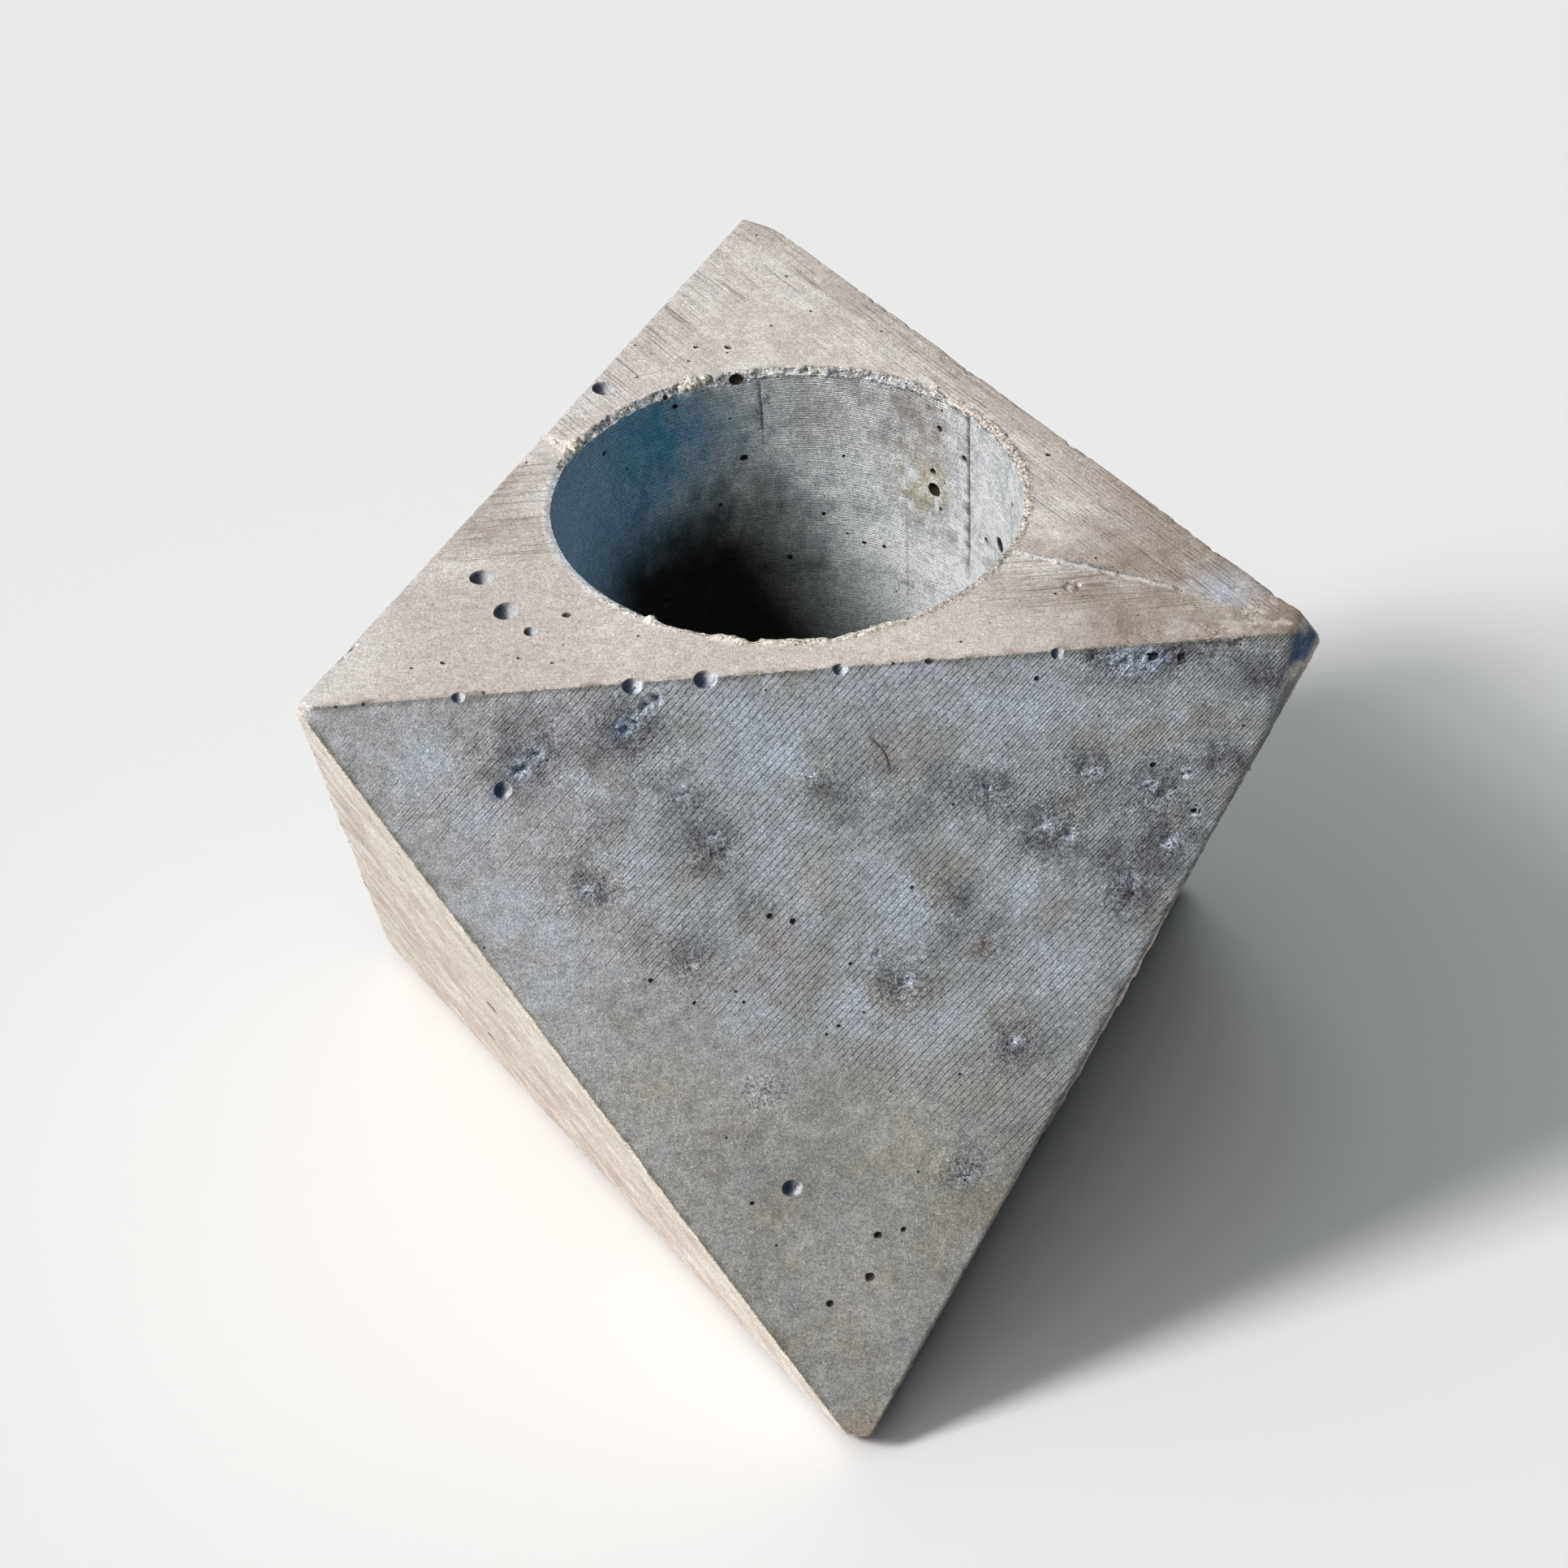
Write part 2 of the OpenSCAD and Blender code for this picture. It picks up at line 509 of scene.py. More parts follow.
# %% Air voids
VOIDS = {
    "top": [
        (15.8, 16.3, 2.3), (17.8, 11.2, 2.5), (19.8, 8.1, 1.3), (22.9, 10.0, 0.8),
        (36.2, 50.3, 0.5), (39.2, 49.9, 0.8), (35.4, 48.0, 0.4), (45.6, 61.7, 0.4),
        (47.4, 55.1, 0.4), (12.4, 4.6, 0.5), (18.7, 4.5, 0.4), (21.5, 3.5, 0.4), (66.4, 28.5, 0.5),
        (27.4, 44.4, 2.3),
    ],
    "front": [
        (13.6, 0.2, 1.2), (28.0, 0.3, 1.7), (34.2, 0.1, 2.0), (45.3, 0.2, 1.3),
        (63.4, 0.3, 1.1), (52.7, 0.1, 0.8), (16.6, 8.6, 1.5), (38.5, 47.4, 1.8), (45.7, 52.7, 0.8),
        (44.8, 56.7, 0.9), (41.1, 59.0, 0.8), (34.9, 48.6, 0.5), (38.1, 21.8, 0.6),
        (40.0, 22.4, 0.6), (71.4, 1.2, 0.6), (73.6, 1.5, 0.7), (48.0, 52.3, 0.6),
        (27.6, 26.8, 0.5), (31.2, 29.2, 0.4), (35.4, 29.5, 0.4),
        (43.4, 32.4, 0.4), (42.3, 33.1, 0.4), (44.7, 26.7, 0.4), (50.3, 20.2, 0.4),
        (61.6, 2.4, 0.5), (71.1, 10.8, 0.5), (74.5, 15.2, 0.5),
    ],
    "left": [
        (47.6, 42.4, 1.3), (38.7, 22.4, 1.7), (22.2, 16.8, 1.0), (55.0, 10.3, 0.9),
        (68.2, 7.7, 0.9), (16.6, 3.8, 0.8),
    ],
}
# Holes in the wall of the well: angle in degrees, depth below the top, width
WALL_VOIDS = [
    (99.4, 0.6, 1.2), (116.5, 1.9, 0.6), (140.3, 3.0, 0.6), (98.5, 9.4, 0.8),
    (43.9, 3.6, 0.7), (35.4, 5.5, 0.8), (10.7, 5.3, 0.6), (46.3, 8.7, 0.7),
    (46.0, 10.7, 1.4), (18.9, 11.7, 1.3), (26.2, 12.8, 0.7), (78.1, 16.3, 0.5),
    (67.2, 19.2, 0.5), (61.6, 19.2, 0.6), (87.6, 21.4, 0.7), (123.0, 23.2, 1.0),
    (105.6, 14.2, 0.5), (43.9, 12.6, 0.5), (119.0, 0.6, 0.6), (72.2, 9.5, 0.4),
]
VOID_LIFT = 0.2
SMALL_VOID = 1.0
# How much painted shade darkens a void inside, by the face it is in; small ones are all dark
VOID_SHADE = {"top": 0.3, "front": 0.15, "left": 0.8, "small": 0.92, "wall": 0.97}


def add_void(bm, place, width, rng):
    """One squashed ball whose mouth in the surface is width across; a small one is jagged."""
    radius = width / 2 / math.sqrt(1 - VOID_LIFT ** 2)
    stretch = [rng.uniform(low, high) for low, high in ((0.85, 1.15), (0.85, 1.15), (0.9, 1.1))]
    squash = Matrix.Diagonal((*stretch, 1))
    turn = Matrix.Rotation(rng.uniform(0, math.tau), 4, Vector((rng.random(), rng.random(), 0.5)))
    small = width < SMALL_VOID
    ball = bmesh.ops.create_icosphere(bm, subdivisions=2 if small else 3, radius=radius,
                                      matrix=Matrix.Translation(place) @ turn @ squash)
    for v in ball["verts"]:
        v.co = Vector(place) + (v.co - Vector(place)) * (rng.uniform(0.82, 1.08) if small else 1)
    return radius


def make_voids():
    """All the voids in one mesh, and where each one is: middle, radius, how much painted shade inside."""
    rng = random.Random(7)
    bm = bmesh.new()
    balls = []
    for face, voids in VOIDS.items():
        for along, inward, width in voids:
            place = RULERS[face].point(along, inward, VOID_LIFT * width / 2)
            dark = VOID_SHADE["small" if width < SMALL_VOID else face]
            balls.append((place, add_void(bm, place, width, rng), dark))
    for angle, depth, width in WALL_VOIDS:
        reach = wall_radius(angle, depth) - VOID_LIFT * width / 2
        place = on_ring(angle, reach, BODY_TOP - depth)
        balls.append((place, add_void(bm, place, width, rng), VOID_SHADE["wall"]))
    return bm, balls


voids, void_balls = make_voids()
print("voids: %d" % (sum(map(len, VOIDS.values())) + len(WALL_VOIDS)))

# %% [markdown]
# ## Cutting the casting
# Boolean modifiers take the core and the voids out of the crystal. The result is
# made a plain mesh at once, because all the finer work is done on its vertices.

# %% Cutting the casting
def as_object(bm, name):
    mesh = bpy.data.meshes.new(name)
    bm.to_mesh(mesh)
    bm.free()
    return add_object(name, mesh)


def cut_away(thing, cutter):
    """Take the cutter out of a mesh object, and delete the cutter."""
    boolean = thing.modifiers.new("cut", "BOOLEAN")
    boolean.operation = "DIFFERENCE"
    boolean.solver = "EXACT"
    boolean.object = cutter
    bpy.context.view_layer.update()
    done = bpy.data.meshes.new_from_object(thing.evaluated_get(bpy.context.evaluated_depsgraph_get()))
    thing.modifiers.clear()
    thing.data = done
    bpy.data.objects.remove(cutter)


casting = as_object(crystal, "concrete_body")
cut_away(casting, as_object(core, "core"))
cut_away(casting, as_object(voids, "voids"))
print("cut casting: %d faces" % len(casting.data.polygons))

# %% [markdown]
# ## Where the detail is
# The mesh has to be finest where the casting is worn or marked, so those places
# are listed first: the arrises, the mouth, the seam, rough ground in the faces,
# and a few lines and a crack in the wall of the well.

# %% Where the detail is
ARRISES = {
    "far left": ("far", "left"), "far right": ("far", "right"), "front top": ("left", "right"),
    "front left": ("left", "base_front"), "front right": ("right", "base_front"),
    "left base": ("base_left", "base_front"), "left back": ("left", "base_left"),
    "back left": ("far", "base_left"), "back right": ("far", "base_right"),
    "right back": ("right", "base_right"), "right base": ("base_right", "base_front"),
    "back base": ("base_left", "base_right"),
}
SHOWN_ARRISES = ("far left", "far right", "front top", "front left", "front right", "left base")
# How worn an arris is, where it differs from the others
OTHER_WEAR = 0.8
ARRIS_WEAR = {"far right": 1.5, "front top": 1.1, "front right": 0.3, "left back": 0.5}
# Rough hollows in a face: along, in, radius of the rough ground, its depth
ROUGH_GROUND = {
    "front": [
        (18.2, 6.9, 1.1, 0.8), (19.5, 5.6, 1.1, 0.7), (20.9, 4.4, 0.9, 0.4), (29.9, 1.6, 0.8, 0.7),
        (29.0, 2.4, 0.9, 0.9), (28.0, 3.3, 0.8, 0.9), (27.1, 4.1, 0.7, 0.9), (31.6, 10.4, 1.4, 0.35),
        (24.0, 18.2, 1.8, 0.3), (33.9, 15.2, 2.2, 0.35), (43.3, 10.0, 1.5, 0.2), (57.6, 12.4, 2.2, 0.4),
        (62.2, 15.8, 3.4, 0.4), (65.5, 10.8, 2.0, 0.35), (71.5, 13.2, 3.2, 0.4), (72.4, 17.8, 2.4, 0.4),
        (68.6, 21.9, 2.6, 0.4), (48.8, 29.0, 2.8, 0.4), (56.6, 26.0, 1.3, 0.3), (31.0, 25.5, 1.8, 0.22),
        (58.6, 35.6, 2.2, 0.22), (53.6, 46.8, 2.0, 0.3), (36.5, 38.0, 1.6, 0.14), (76.8, 10.8, 1.8, 0.3),
        (66.4, 1.0, 1.3, 0.5), (68.6, 1.4, 1.6, 0.7), (70.8, 1.4, 1.6, 0.7), (73.2, 1.4, 1.5, 0.6),
        (75.8, 0.9, 1.3, 0.5), (78.4, 0.8, 1.2, 0.4), (57.1, 11.7, 0.8, 0.7), (61.5, 15.6, 0.9, 0.7),
        (63.8, 16.5, 0.7, 0.7), (70.7, 12.5, 0.9, 0.7), (72.4, 18.0, 0.9, 0.7), (69.1, 21.1, 0.8, 0.7),
        (33.9, 14.3, 0.8, 0.7), (31.5, 10.2, 0.7, 0.7), (22.8, 18.2, 0.7, 0.7), (49.5, 28.8, 0.8, 0.7),
        (46.9, 26.1, 0.6, 0.7), (58.5, 35.1, 0.7, 0.7), (53.7, 47.5, 0.8, 0.7), (73.9, 11.8, 0.9, 0.7),
        (42.3, 9.6, 0.6, 0.7), (66.2, 11.2, 0.7, 0.7), (74.6, 15.4, 0.7, 0.7),
    ],
    "top": [
        (80.5, 3.2, 2.6, 0.3), (76.0, 1.2, 3.0, 0.3), (70.0, 0.8, 2.4, 0.3), (79.0, 7.0, 1.8, 0.2),
        (55.0, 0.6, 1.2, 0.15), (74.8, 7.3, 1.2, 0.25), (77.0, 6.0, 1.2, 0.25),
    ],
}
# Lines in the wall of the well: angles at top and foot, depths of both, depth of the groove
WALL_LINE_DEPTH = 0.12
WALL_LINES = [
    (33.5, 33.5, 0.0, 18.0, WALL_LINE_DEPTH), (54.8, 54.8, 12.0, 26.0, 0.04), (93.9, 92.2, 1.2, 8.7, 0.09),
]
SEAM_BOW = 0.6
# A hair-thin curved mark on the front face: along and in of its centre, radius, its angles
HAIR_MARK = (45.4, 9.4, 3.5, -52, 4)
# One shallow void of the top face whose middle still stands: along, in, radius
RING_VOID = (65.9, 8.9, 0.8)
# A distance that counts as out of reach
FAR = 9.0


def distance_to_arrises(points, names):
    return np.min([distance_to_arris(points, *ARRISES[name]) for name in names], axis=0)


def distance_to_rim(points):
    """Distance to the middle of the broken edge of the mouth."""
    angles = angle_round_well(points)
    width, depth = mouth_break(angles)
    out = out_from_axis(points) - wall_radius(angles, 0)
    return np.hypot(out - width / 2, depth / 2 - depth_below_top(points))


def distance_across_seam(points):
    """Distance sideways from the upright plane where the mould parted."""
    heading = math.radians(SEAM_HEADING + 90)
    return points[:, 0] * math.cos(heading) + points[:, 1] * math.sin(heading)


def seam_shift(points):
    """Distance from the seam's own line, which bows a little to one side on the top face."""
    run = (out_from_axis(points) - WELL_RADIUS) / (CORNER_REACH - WELL_RADIUS)
    bow = SEAM_BOW * np.sin(np.pi * np.clip(run, 0, 1))
    on_right = np.abs(angle_round_well(points) - (SEAM_HEADING - 360)) < 30
    return distance_across_seam(points) - np.where(on_right & (depth_below_top(points) < 1), bow, 0)


def beside_wall_line(angles, depth, line):
    """How many degrees points of the wall lie beside one of its lines, on one side or the other."""
    top_angle, foot_angle, top, foot, _ = line
    run = np.clip((depth - top) / (foot - top), 0, 1)
    return angles - top_angle - (foot_angle - top_angle) * run


def fine_marks_on_wall(points):
    """How many degrees each point lies from the nearest line or crack in the wall."""
    angles, depth = angle_round_well(points), depth_below_top(points)
    nearest = np.full(len(points), 90.0)
    for line in WALL_LINES:
        aside = np.abs(beside_wall_line(angles, depth, line))
        beside = (depth > line[2] - 1) & (depth < line[3] + 1)
        nearest = np.minimum(nearest, np.where(beside, aside, 90))
    return nearest


def from_hair_mark(points):
    """Distance from the curved mark on the front face, and far beyond its ends."""
    along, inward, radius, start, end = HAIR_MARK
    a, b, lift = RULERS["front"].measure(points)
    angle = np.degrees(np.arctan2(b - inward, a - along))
    aside = np.abs(np.hypot(a - along, b - inward) - radius)
    return aside + FAR * ((angle < start) | (angle > end) | (np.abs(lift) > 0.5))


def rough_reach(points):
    """Distance from the middle of the nearest rough ground, as a share of its radius."""
    share = np.full(len(points), FAR)
    for face, grounds in ROUGH_GROUND.items():
        a, b, lift = RULERS[face].measure(points)
        for along, inward, radius, _ in grounds:
            near = np.hypot(a - along, b - inward) / radius + FAR * (np.abs(lift) > 0.5)
            share = np.minimum(share, near)
    return share


print("wear: %d arrises, %d rough hollows" % (len(ARRISES), sum(map(len, ROUGH_GROUND.values()))))

# %% [markdown]
# ## A finer mesh where the detail is
# Crumbled arrises and sandy edges need small triangles, but a hidden flat face
# doesn't. The casting is made of triangles, and then every edge that is longer
# than its place allows is halved, again and again.

# %% A finer mesh where the detail is
# The longest edge of a triangle, in millimetres, by where it lies
LONGEST = {
    "hidden face": 4.2, "left face": 1.8, "shown face": 1.2, "seam on a side": 0.7,
    "beside a wall line": 0.5, "round corner": 0.45, "rough ground": 0.38,
    "seam on top": 0.26, "on a wall line": 0.24, "ring void": 0.2, "hair mark": 0.18,
}
# The same in the wall of the well: depths below the top, and the longest edge at each
LONGEST_IN_WELL = ((0, 30, 36), (1.5, 2.0, 3.6))
# The same beside an arris or the mouth: distances from it, and the longest edge at each
LONGEST_AT_SHOWN_ARRIS = ((0.35, 1.2), (0.48, 1.3))
LONGEST_AT_HIDDEN_ARRIS = ((0.4, 2.0), (1.2, 4.2))
LONGEST_AT_RIM = ((0.7, 1.8), (0.34, 1.0))
ROUND_CORNER_REACH = 6.5


def by_distance(distance, table):
    """The longest edge by the distance from a line, with no limit beyond the table."""
    distances, longest = table
    return np.interp(distance, distances, longest) + LONGEST["hidden face"] * (distance > distances[-1])


def longest_edge(points):
    """The longest edge that is allowed at each point, in millimetres."""
    reach, depth = out_from_axis(points), depth_below_top(points)
    allowed = np.full(len(points), LONGEST["hidden face"])
    on_top = depth < 0.5
    on_front, on_left = [np.abs(RULERS[name].measure(points)[2]) < 0.5 for name in ("front", "left")]
    in_hole = (reach < WELL_RADIUS + 0.7) & (depth > 0.5)
    allowed[in_hole] = np.interp(depth[in_hole], *LONGEST_IN_WELL)
    aside = fine_marks_on_wall(points)
    allowed[in_hole & (aside < 2.0)] = LONGEST["beside a wall line"]
    allowed[in_hole & (aside < 1.0)] = LONGEST["on a wall line"]
    allowed[on_left] = LONGEST["left face"]
    allowed[on_top | on_front] = LONGEST["shown face"]
    allowed[rough_reach(points) < 1.1] = LONGEST["rough ground"]
    allowed[distance_to_corner(points, ROUND_CORNER) < ROUND_CORNER_REACH] = LONGEST["round corner"]
    allowed[from_hair_mark(points) < 0.35] = LONGEST["hair mark"]
    along, inward, radius = RING_VOID
    a, b, _ = RULERS["top"].measure(points)
    allowed[(np.hypot(a - along, b - inward) < radius * 1.6) & on_top] = LONGEST["ring void"]
    shown = by_distance(distance_to_arrises(points, SHOWN_ARRISES), LONGEST_AT_SHOWN_ARRIS)
    hidden = np.interp(distance_to_arrises(points, ARRISES), *LONGEST_AT_HIDDEN_ARRIS)
    rim = by_distance(distance_to_rim(points), LONGEST_AT_RIM)
    allowed = np.min([allowed, shown, hidden, rim], axis=0)
    outside = (reach > WELL_RADIUS + 0.7) & (points[:, 2] > BODY_BASE + 0.1)
    at_seam = np.abs(distance_across_seam(points)) < SEAM_REACH + 0.1
    allowed[at_seam & outside & ~on_top] = LONGEST["seam on a side"]
    allowed[(np.abs(seam_shift(points)) < 0.7) & outside & on_top] = LONGEST["seam on top"]
    return allowed


def edge_ends(bm):
    """Both ends of every edge, in the order of bm.edges."""
    bm.verts.index_update()
    places = np.array([v.co[:] for v in bm.verts])
    pairs = np.array([(e.verts[0].index, e.verts[1].index) for e in bm.edges])
    return places[pairs]


def refine(bm, passes=12):
    """Halve every edge that is too long for its place, and keep the mesh in triangles."""
    for _ in range(passes):
        ends = edge_ends(bm)
        length = np.linalg.norm(ends[:, 0] - ends[:, 1], axis=1)
        too_long = length > longest_edge(ends.mean(axis=1))
        if not too_long.any():
            break
        chosen = [e for e, halve in zip(bm.edges, too_long) if halve]
        bmesh.ops.subdivide_edges(bm, edges=chosen, cuts=1, use_grid_fill=False)
        open_faces = [f for f in bm.faces if len(f.verts) > 3]
        bmesh.ops.triangulate(bm, faces=open_faces, quad_method="SHORT_EDGE", ngon_method="BEAUTY")


surface = bmesh.new()
surface.from_mesh(casting.data)
bmesh.ops.remove_doubles(surface, verts=surface.verts[:], dist=1e-4)
bmesh.ops.triangulate(surface, faces=surface.faces[:], quad_method="BEAUTY", ngon_method="BEAUTY")
refine(surface)
print("refined: %d faces" % len(surface.faces))

# %% [markdown]
# ## Which face a point belongs to
# The relief and the colours differ from face to face. The body is convex, so a
# point of its surface belongs to the face whose plane is nearest. The wall and
# floor of the well are a zone of their own.

# %% Which face a point belongs to
ZONES = list(FACES) + ["well"]
WELL_ZONE = ZONES.index("well")


def in_well(points, margin=0.05):
    """True on the wall and floor of the well, below its broken mouth."""
    depth = depth_below_top(points)
    angles = angle_round_well(points)
    low_enough = depth > mouth_break(angles)[1] * 0.95
    above_floor = depth < WELL_DEPTH + 1
    return (out_from_axis(points) < wall_radius(angles, depth) + margin) & low_enough & above_floor


def zone_of(points):
    """The number of the zone that each point belongs to, and its depth below that face."""
    heights = np.array([ruler.measure(points)[2] for ruler in RULERS.values()])
    zone = heights.argmax(axis=0)
    zone[in_well(points)] = WELL_ZONE
    return zone, -heights.max(axis=0)


print("zones:", ", ".join(ZONES))

# %% [markdown]
# ## Relief of the arrises and the mouth
# What a finger would feel is worked out as depths in millimetres, which in the end
# move the vertices inwards along their normals. The arrises crumbled, a little
# everywhere and more in patches, and the mouth broke away sandy.

# %% Relief of the arrises and the mouth
def arris_wear(points):
    """How deep the arrises have crumbled: a little everywhere, more in patches."""
    close = distance_to_arrises(points, ARRISES) < 1.8
    worn = points[close]
    patches = fade(ripple(worn, 9.0, seed=1), 0.05, 0.7)
    chips = fade(ripple(worn, 1.6, seed=2, octaves=3), 0.1, 0.75)
    width = 0.25 + 0.5 * patches + 0.6 * chips
    depth = 0.05 + 0.10 * patches + 0.30 * chips * (0.35 + patches)
    deepest = np.zeros(len(worn))
    for name, ends in ARRISES.items():
        here = ARRIS_WEAR.get(name, OTHER_WEAR) * depth * fall(distance_to_arris(worn, *ends), 0, width)
        deepest = np.maximum(deepest, here)
    wear = np.zeros(len(points))
    wear[close] = deepest
    return wear


# Grains stuck to the mouth: angle round the well, distance out, width, height
MOUTH_LUMPS = [
    (110.5, 0.50, 1.9, 0.50), (107.2, 0.65, 1.3, 0.42), (113.4, 0.30, 1.1, 0.35),
    (150.5, 0.75, 1.1, 0.50), (148.3, 1.05, 0.9, 0.42), (153.0, 0.95, 1.0, 0.45),
    (151.5, 0.25, 0.8, 0.35), (146.0, 0.50, 0.8, 0.35), (-128.5, 0.40, 1.3, 0.40),
    (-54.0, 0.2, 0.9, 0.22),
]
# A crumbly lip stands along the near side of the mouth: its first and last angle, its height
NEAR_LIP = (-110, -70, 0.26)


def mouth_lumps(points):
    """Height of the grains that stick up from the mouth."""
    height = np.zeros(len(points))
    for angle, out, width, tall in MOUTH_LUMPS:
        middle = on_ring(angle, wall_radius(angle, 0) + out, BODY_TOP - 0.25)
        away = np.linalg.norm(points - middle, axis=1)
        height = np.maximum(height, tall * fall(away, width * 0.2, width * 0.5))
    angle = angle_round_well(points)
    start, end, tall = NEAR_LIP
    out = out_from_axis(points) - wall_radius(angle, 0)
    lip = fade(angle, start - 4, start) * fall(angle, end, end + 4) * fall(np.abs(out - 0.3), 0.3, 0.8)
    lip[lip > 0] *= fade(ripple(points[lip > 0], 3.0, seed=12, octaves=3), -0.3, 0.1)
    return np.maximum(height, tall * lip)


def mouth_roughness(points):
    """The sandy break round the mouth, which is smooth only on the left."""
    near = distance_to_rim(points)
    close = near < 2.0
    broken = points[close]
    angles = angle_round_well(broken)
    sandy = 0.25 + 0.75 * fade(angles, -135, -115) * fall(angles, 155, 165)
    sandy = sandy * (0.55 + 0.45 * fade(angles, -45, -30))
    strength = fall(near[close], 0.3, 1.0) * fade(mouth_break(angles)[0], 0.05, 0.4) * sandy
    grains = ripple(broken, 0.7, seed=3, octaves=3)
    steps = fade(ripple(broken, 1.7, seed=4), 0.1, 0.45)
    rough = np.zeros(len(points))
    rough[close] = strength * (0.05 + 0.22 * grains + 0.2 * steps) - mouth_lumps(broken)
    return rough


print("grains at the mouth: %d" % len(MOUTH_LUMPS))

# %% [markdown]
# ## Relief of the seam
# Where the two parts of the mould met, mortar crept out into a broken bead, with
# drops on its near side and a groove along its far side. It fades out towards the
# corners.

# %% Relief of the seam
SEAM_HEIGHT = 0.30
SEAM_WIDTH = 0.34
GROOVE_DEPTH = 0.20


def seam_bead(points):
    """The raised line where the mould parted, and the groove along its far side."""
    across = seam_shift(points)
    reach = out_from_axis(points)
    close = (np.abs(across) < 1.5) & (reach > WELL_RADIUS + 0.8) & (points[:, 2] > BODY_BASE + 0.6)
    here = points[close]
    s = across[close]
    broken = 0.5 + 0.5 * fade(ripple(here, 1.6, seed=5), -0.3, 0.4)
    drops = 0.8 * fade(ripple(here, 0.8, seed=10), 0.2, 0.6) * peak(s, -0.35, 0.25)
    bead = SEAM_HEIGHT * (broken * peak(s, 0, SEAM_WIDTH / 2) + drops)
    groove = GROOVE_DEPTH * peak(s, 0.36, 0.18)
    depth = np.zeros(len(points))
    depth[close] = (groove - bead) * fade(CORNER_REACH - reach[close], 10.0, 17.0)
    return depth


print("seam: bead %.2f mm high, groove %.2f mm deep" % (SEAM_HEIGHT, GROOVE_DEPTH))

# %% [markdown]
# ## Relief of the flat faces and the wall
# The front face has rough hollows where the mix didn't flow, one void of the top
# face left its middle standing, the core scored the wall of the well, and every
# face that was cast is very slightly wavy.

# %% Relief of the flat faces and the wall
def rough_ground(points, zone):
    """Hollows with a lumpy floor, which fade out at their edges."""
    depth = np.zeros(len(points))
    for face, grounds in ROUGH_GROUND.items():
        on_face = np.flatnonzero(zone == ZONES.index(face))
        a, b, _ = RULERS[face].measure(points[on_face])
        for along, inward, radius, deep in grounds:
            away = np.hypot(a - along, b - inward)
            close = away < radius * 1.3
            here = on_face[close]
            lumps = ripple(points[here], 1.2, seed=6, octaves=4)
            edge = fall(away[close] + 0.5 * radius * lumps, 0.3 * radius, radius)
            depth[here] = np.maximum(depth[here], deep * edge * (0.45 + 1.5 * lumps))
    return depth


def wall_lines(points, zone):
    """How deep the upright lines and the crack are cut into the wall."""
    on_line = np.zeros(len(points))
    in_hole = np.flatnonzero(zone == WELL_ZONE)
    angles = angle_round_well(points[in_hole])
    depth = BODY_TOP - points[in_hole, 2]
    wander = 0.35 * ripple(points[in_hole], 3.0, seed=11)
    for line in WALL_LINES:
        top_angle, foot_angle, top, foot, groove = line
        aside = np.radians(beside_wall_line(angles, depth, line)) * WELL_RADIUS
        ends = fade(depth, top - 0.5, top + 0.5) * fall(depth, foot - 3, foot)
        here = ends * groove * peak(aside + wander * (top_angle != foot_angle), 0, 0.14)
        on_line[in_hole] = np.maximum(on_line[in_hole], here)
    return on_line


def ring_void(points, zone):
    a, b, _ = RULERS["top"].measure(points)
    along, inward, radius = RING_VOID
    away = np.hypot(a - along, b - inward)
    ring = 0.45 * peak(away, radius * 0.65, radius * 0.35)
    return np.where(zone == ZONES.index("top"), ring, 0)


def waviness(points):
    return 0.035 * (1 + ripple(points, 11.0, seed=8)) + 0.012 * (1 + ripple(points, 2.5, seed=9))


print("lines in the wall: %d" % len(WALL_LINES))

# %% [markdown]
# ## Move the surface
# The depths are added up and kept within bounds, and every vertex moves inwards by
# its own depth along its normal. A grain has a negative depth, so it stands out.

# %% Move the surface
HIGHEST_GRAIN = 0.38
DEEPEST_PIT = 0.9


def all_vectors(items, name):
    """One vector of every vertex or normal of a mesh, as rows of an array."""
    vectors = np.zeros(len(items) * 3)
    items.foreach_get(name, vectors)
    return vectors.reshape(-1, 3)


surface.to_mesh(casting.data)
surface.free()
body = casting.data
cast_points = all_vectors(body.vertices, "co")
zone, below = zone_of(cast_points)
relief = arris_wear(cast_points) + mouth_roughness(cast_points) + seam_bead(cast_points)
lines_on_wall = wall_lines(cast_points, zone)
relief += rough_ground(cast_points, zone) + ring_void(cast_points, zone)
relief += lines_on_wall + waviness(cast_points) * (zone != ZONES.index("base"))
relief = np.clip(relief, -HIGHEST_GRAIN, DEEPEST_PIT)
moved = cast_points - relief[:, None] * all_vectors(body.vertex_normals, "vector")
body.vertices.foreach_set("co", moved.ravel())
body.update()
print("relief from %.2f to %.2f mm deep" % (relief.min(), relief.max()))

# %% [markdown]
# ## The lines of the mould
# A UV map holds, for each face, how many printed lines lie between a point and the
# edge, and how far the point lies along its line in millimetres. The material can
# then draw lines, scratches and streaks that run the right way on every face.

# %% The lines of the mould
LINE_PITCH = 0.43
RASTER_PITCH = 0.57
LAYER_HEIGHT = 0.2
DIAGONAL = math.sqrt(0.5)
# The direction of the lines on each face, as along and in of its ruler, and their pitch
LINES = {
    "top": (1.0, 0.0, LINE_PITCH),
    "front": (DIAGONAL, -DIAGONAL, RASTER_PITCH),
    "left": (1.0, 0.0, LINE_PITCH),
    "back_left": (0.5, math.sqrt(0.75), LINE_PITCH),
    "right": (1.0, 0.0, LINE_PITCH),
    "back_right": (1.0, 0.0, LINE_PITCH),
    "back": (DIAGONAL, -DIAGONAL, RASTER_PITCH),
    "base": (1.0, 0.0, LINE_PITCH),
}
FAR_HALF_LINES = (-0.5, math.sqrt(0.75), LINE_PITCH)


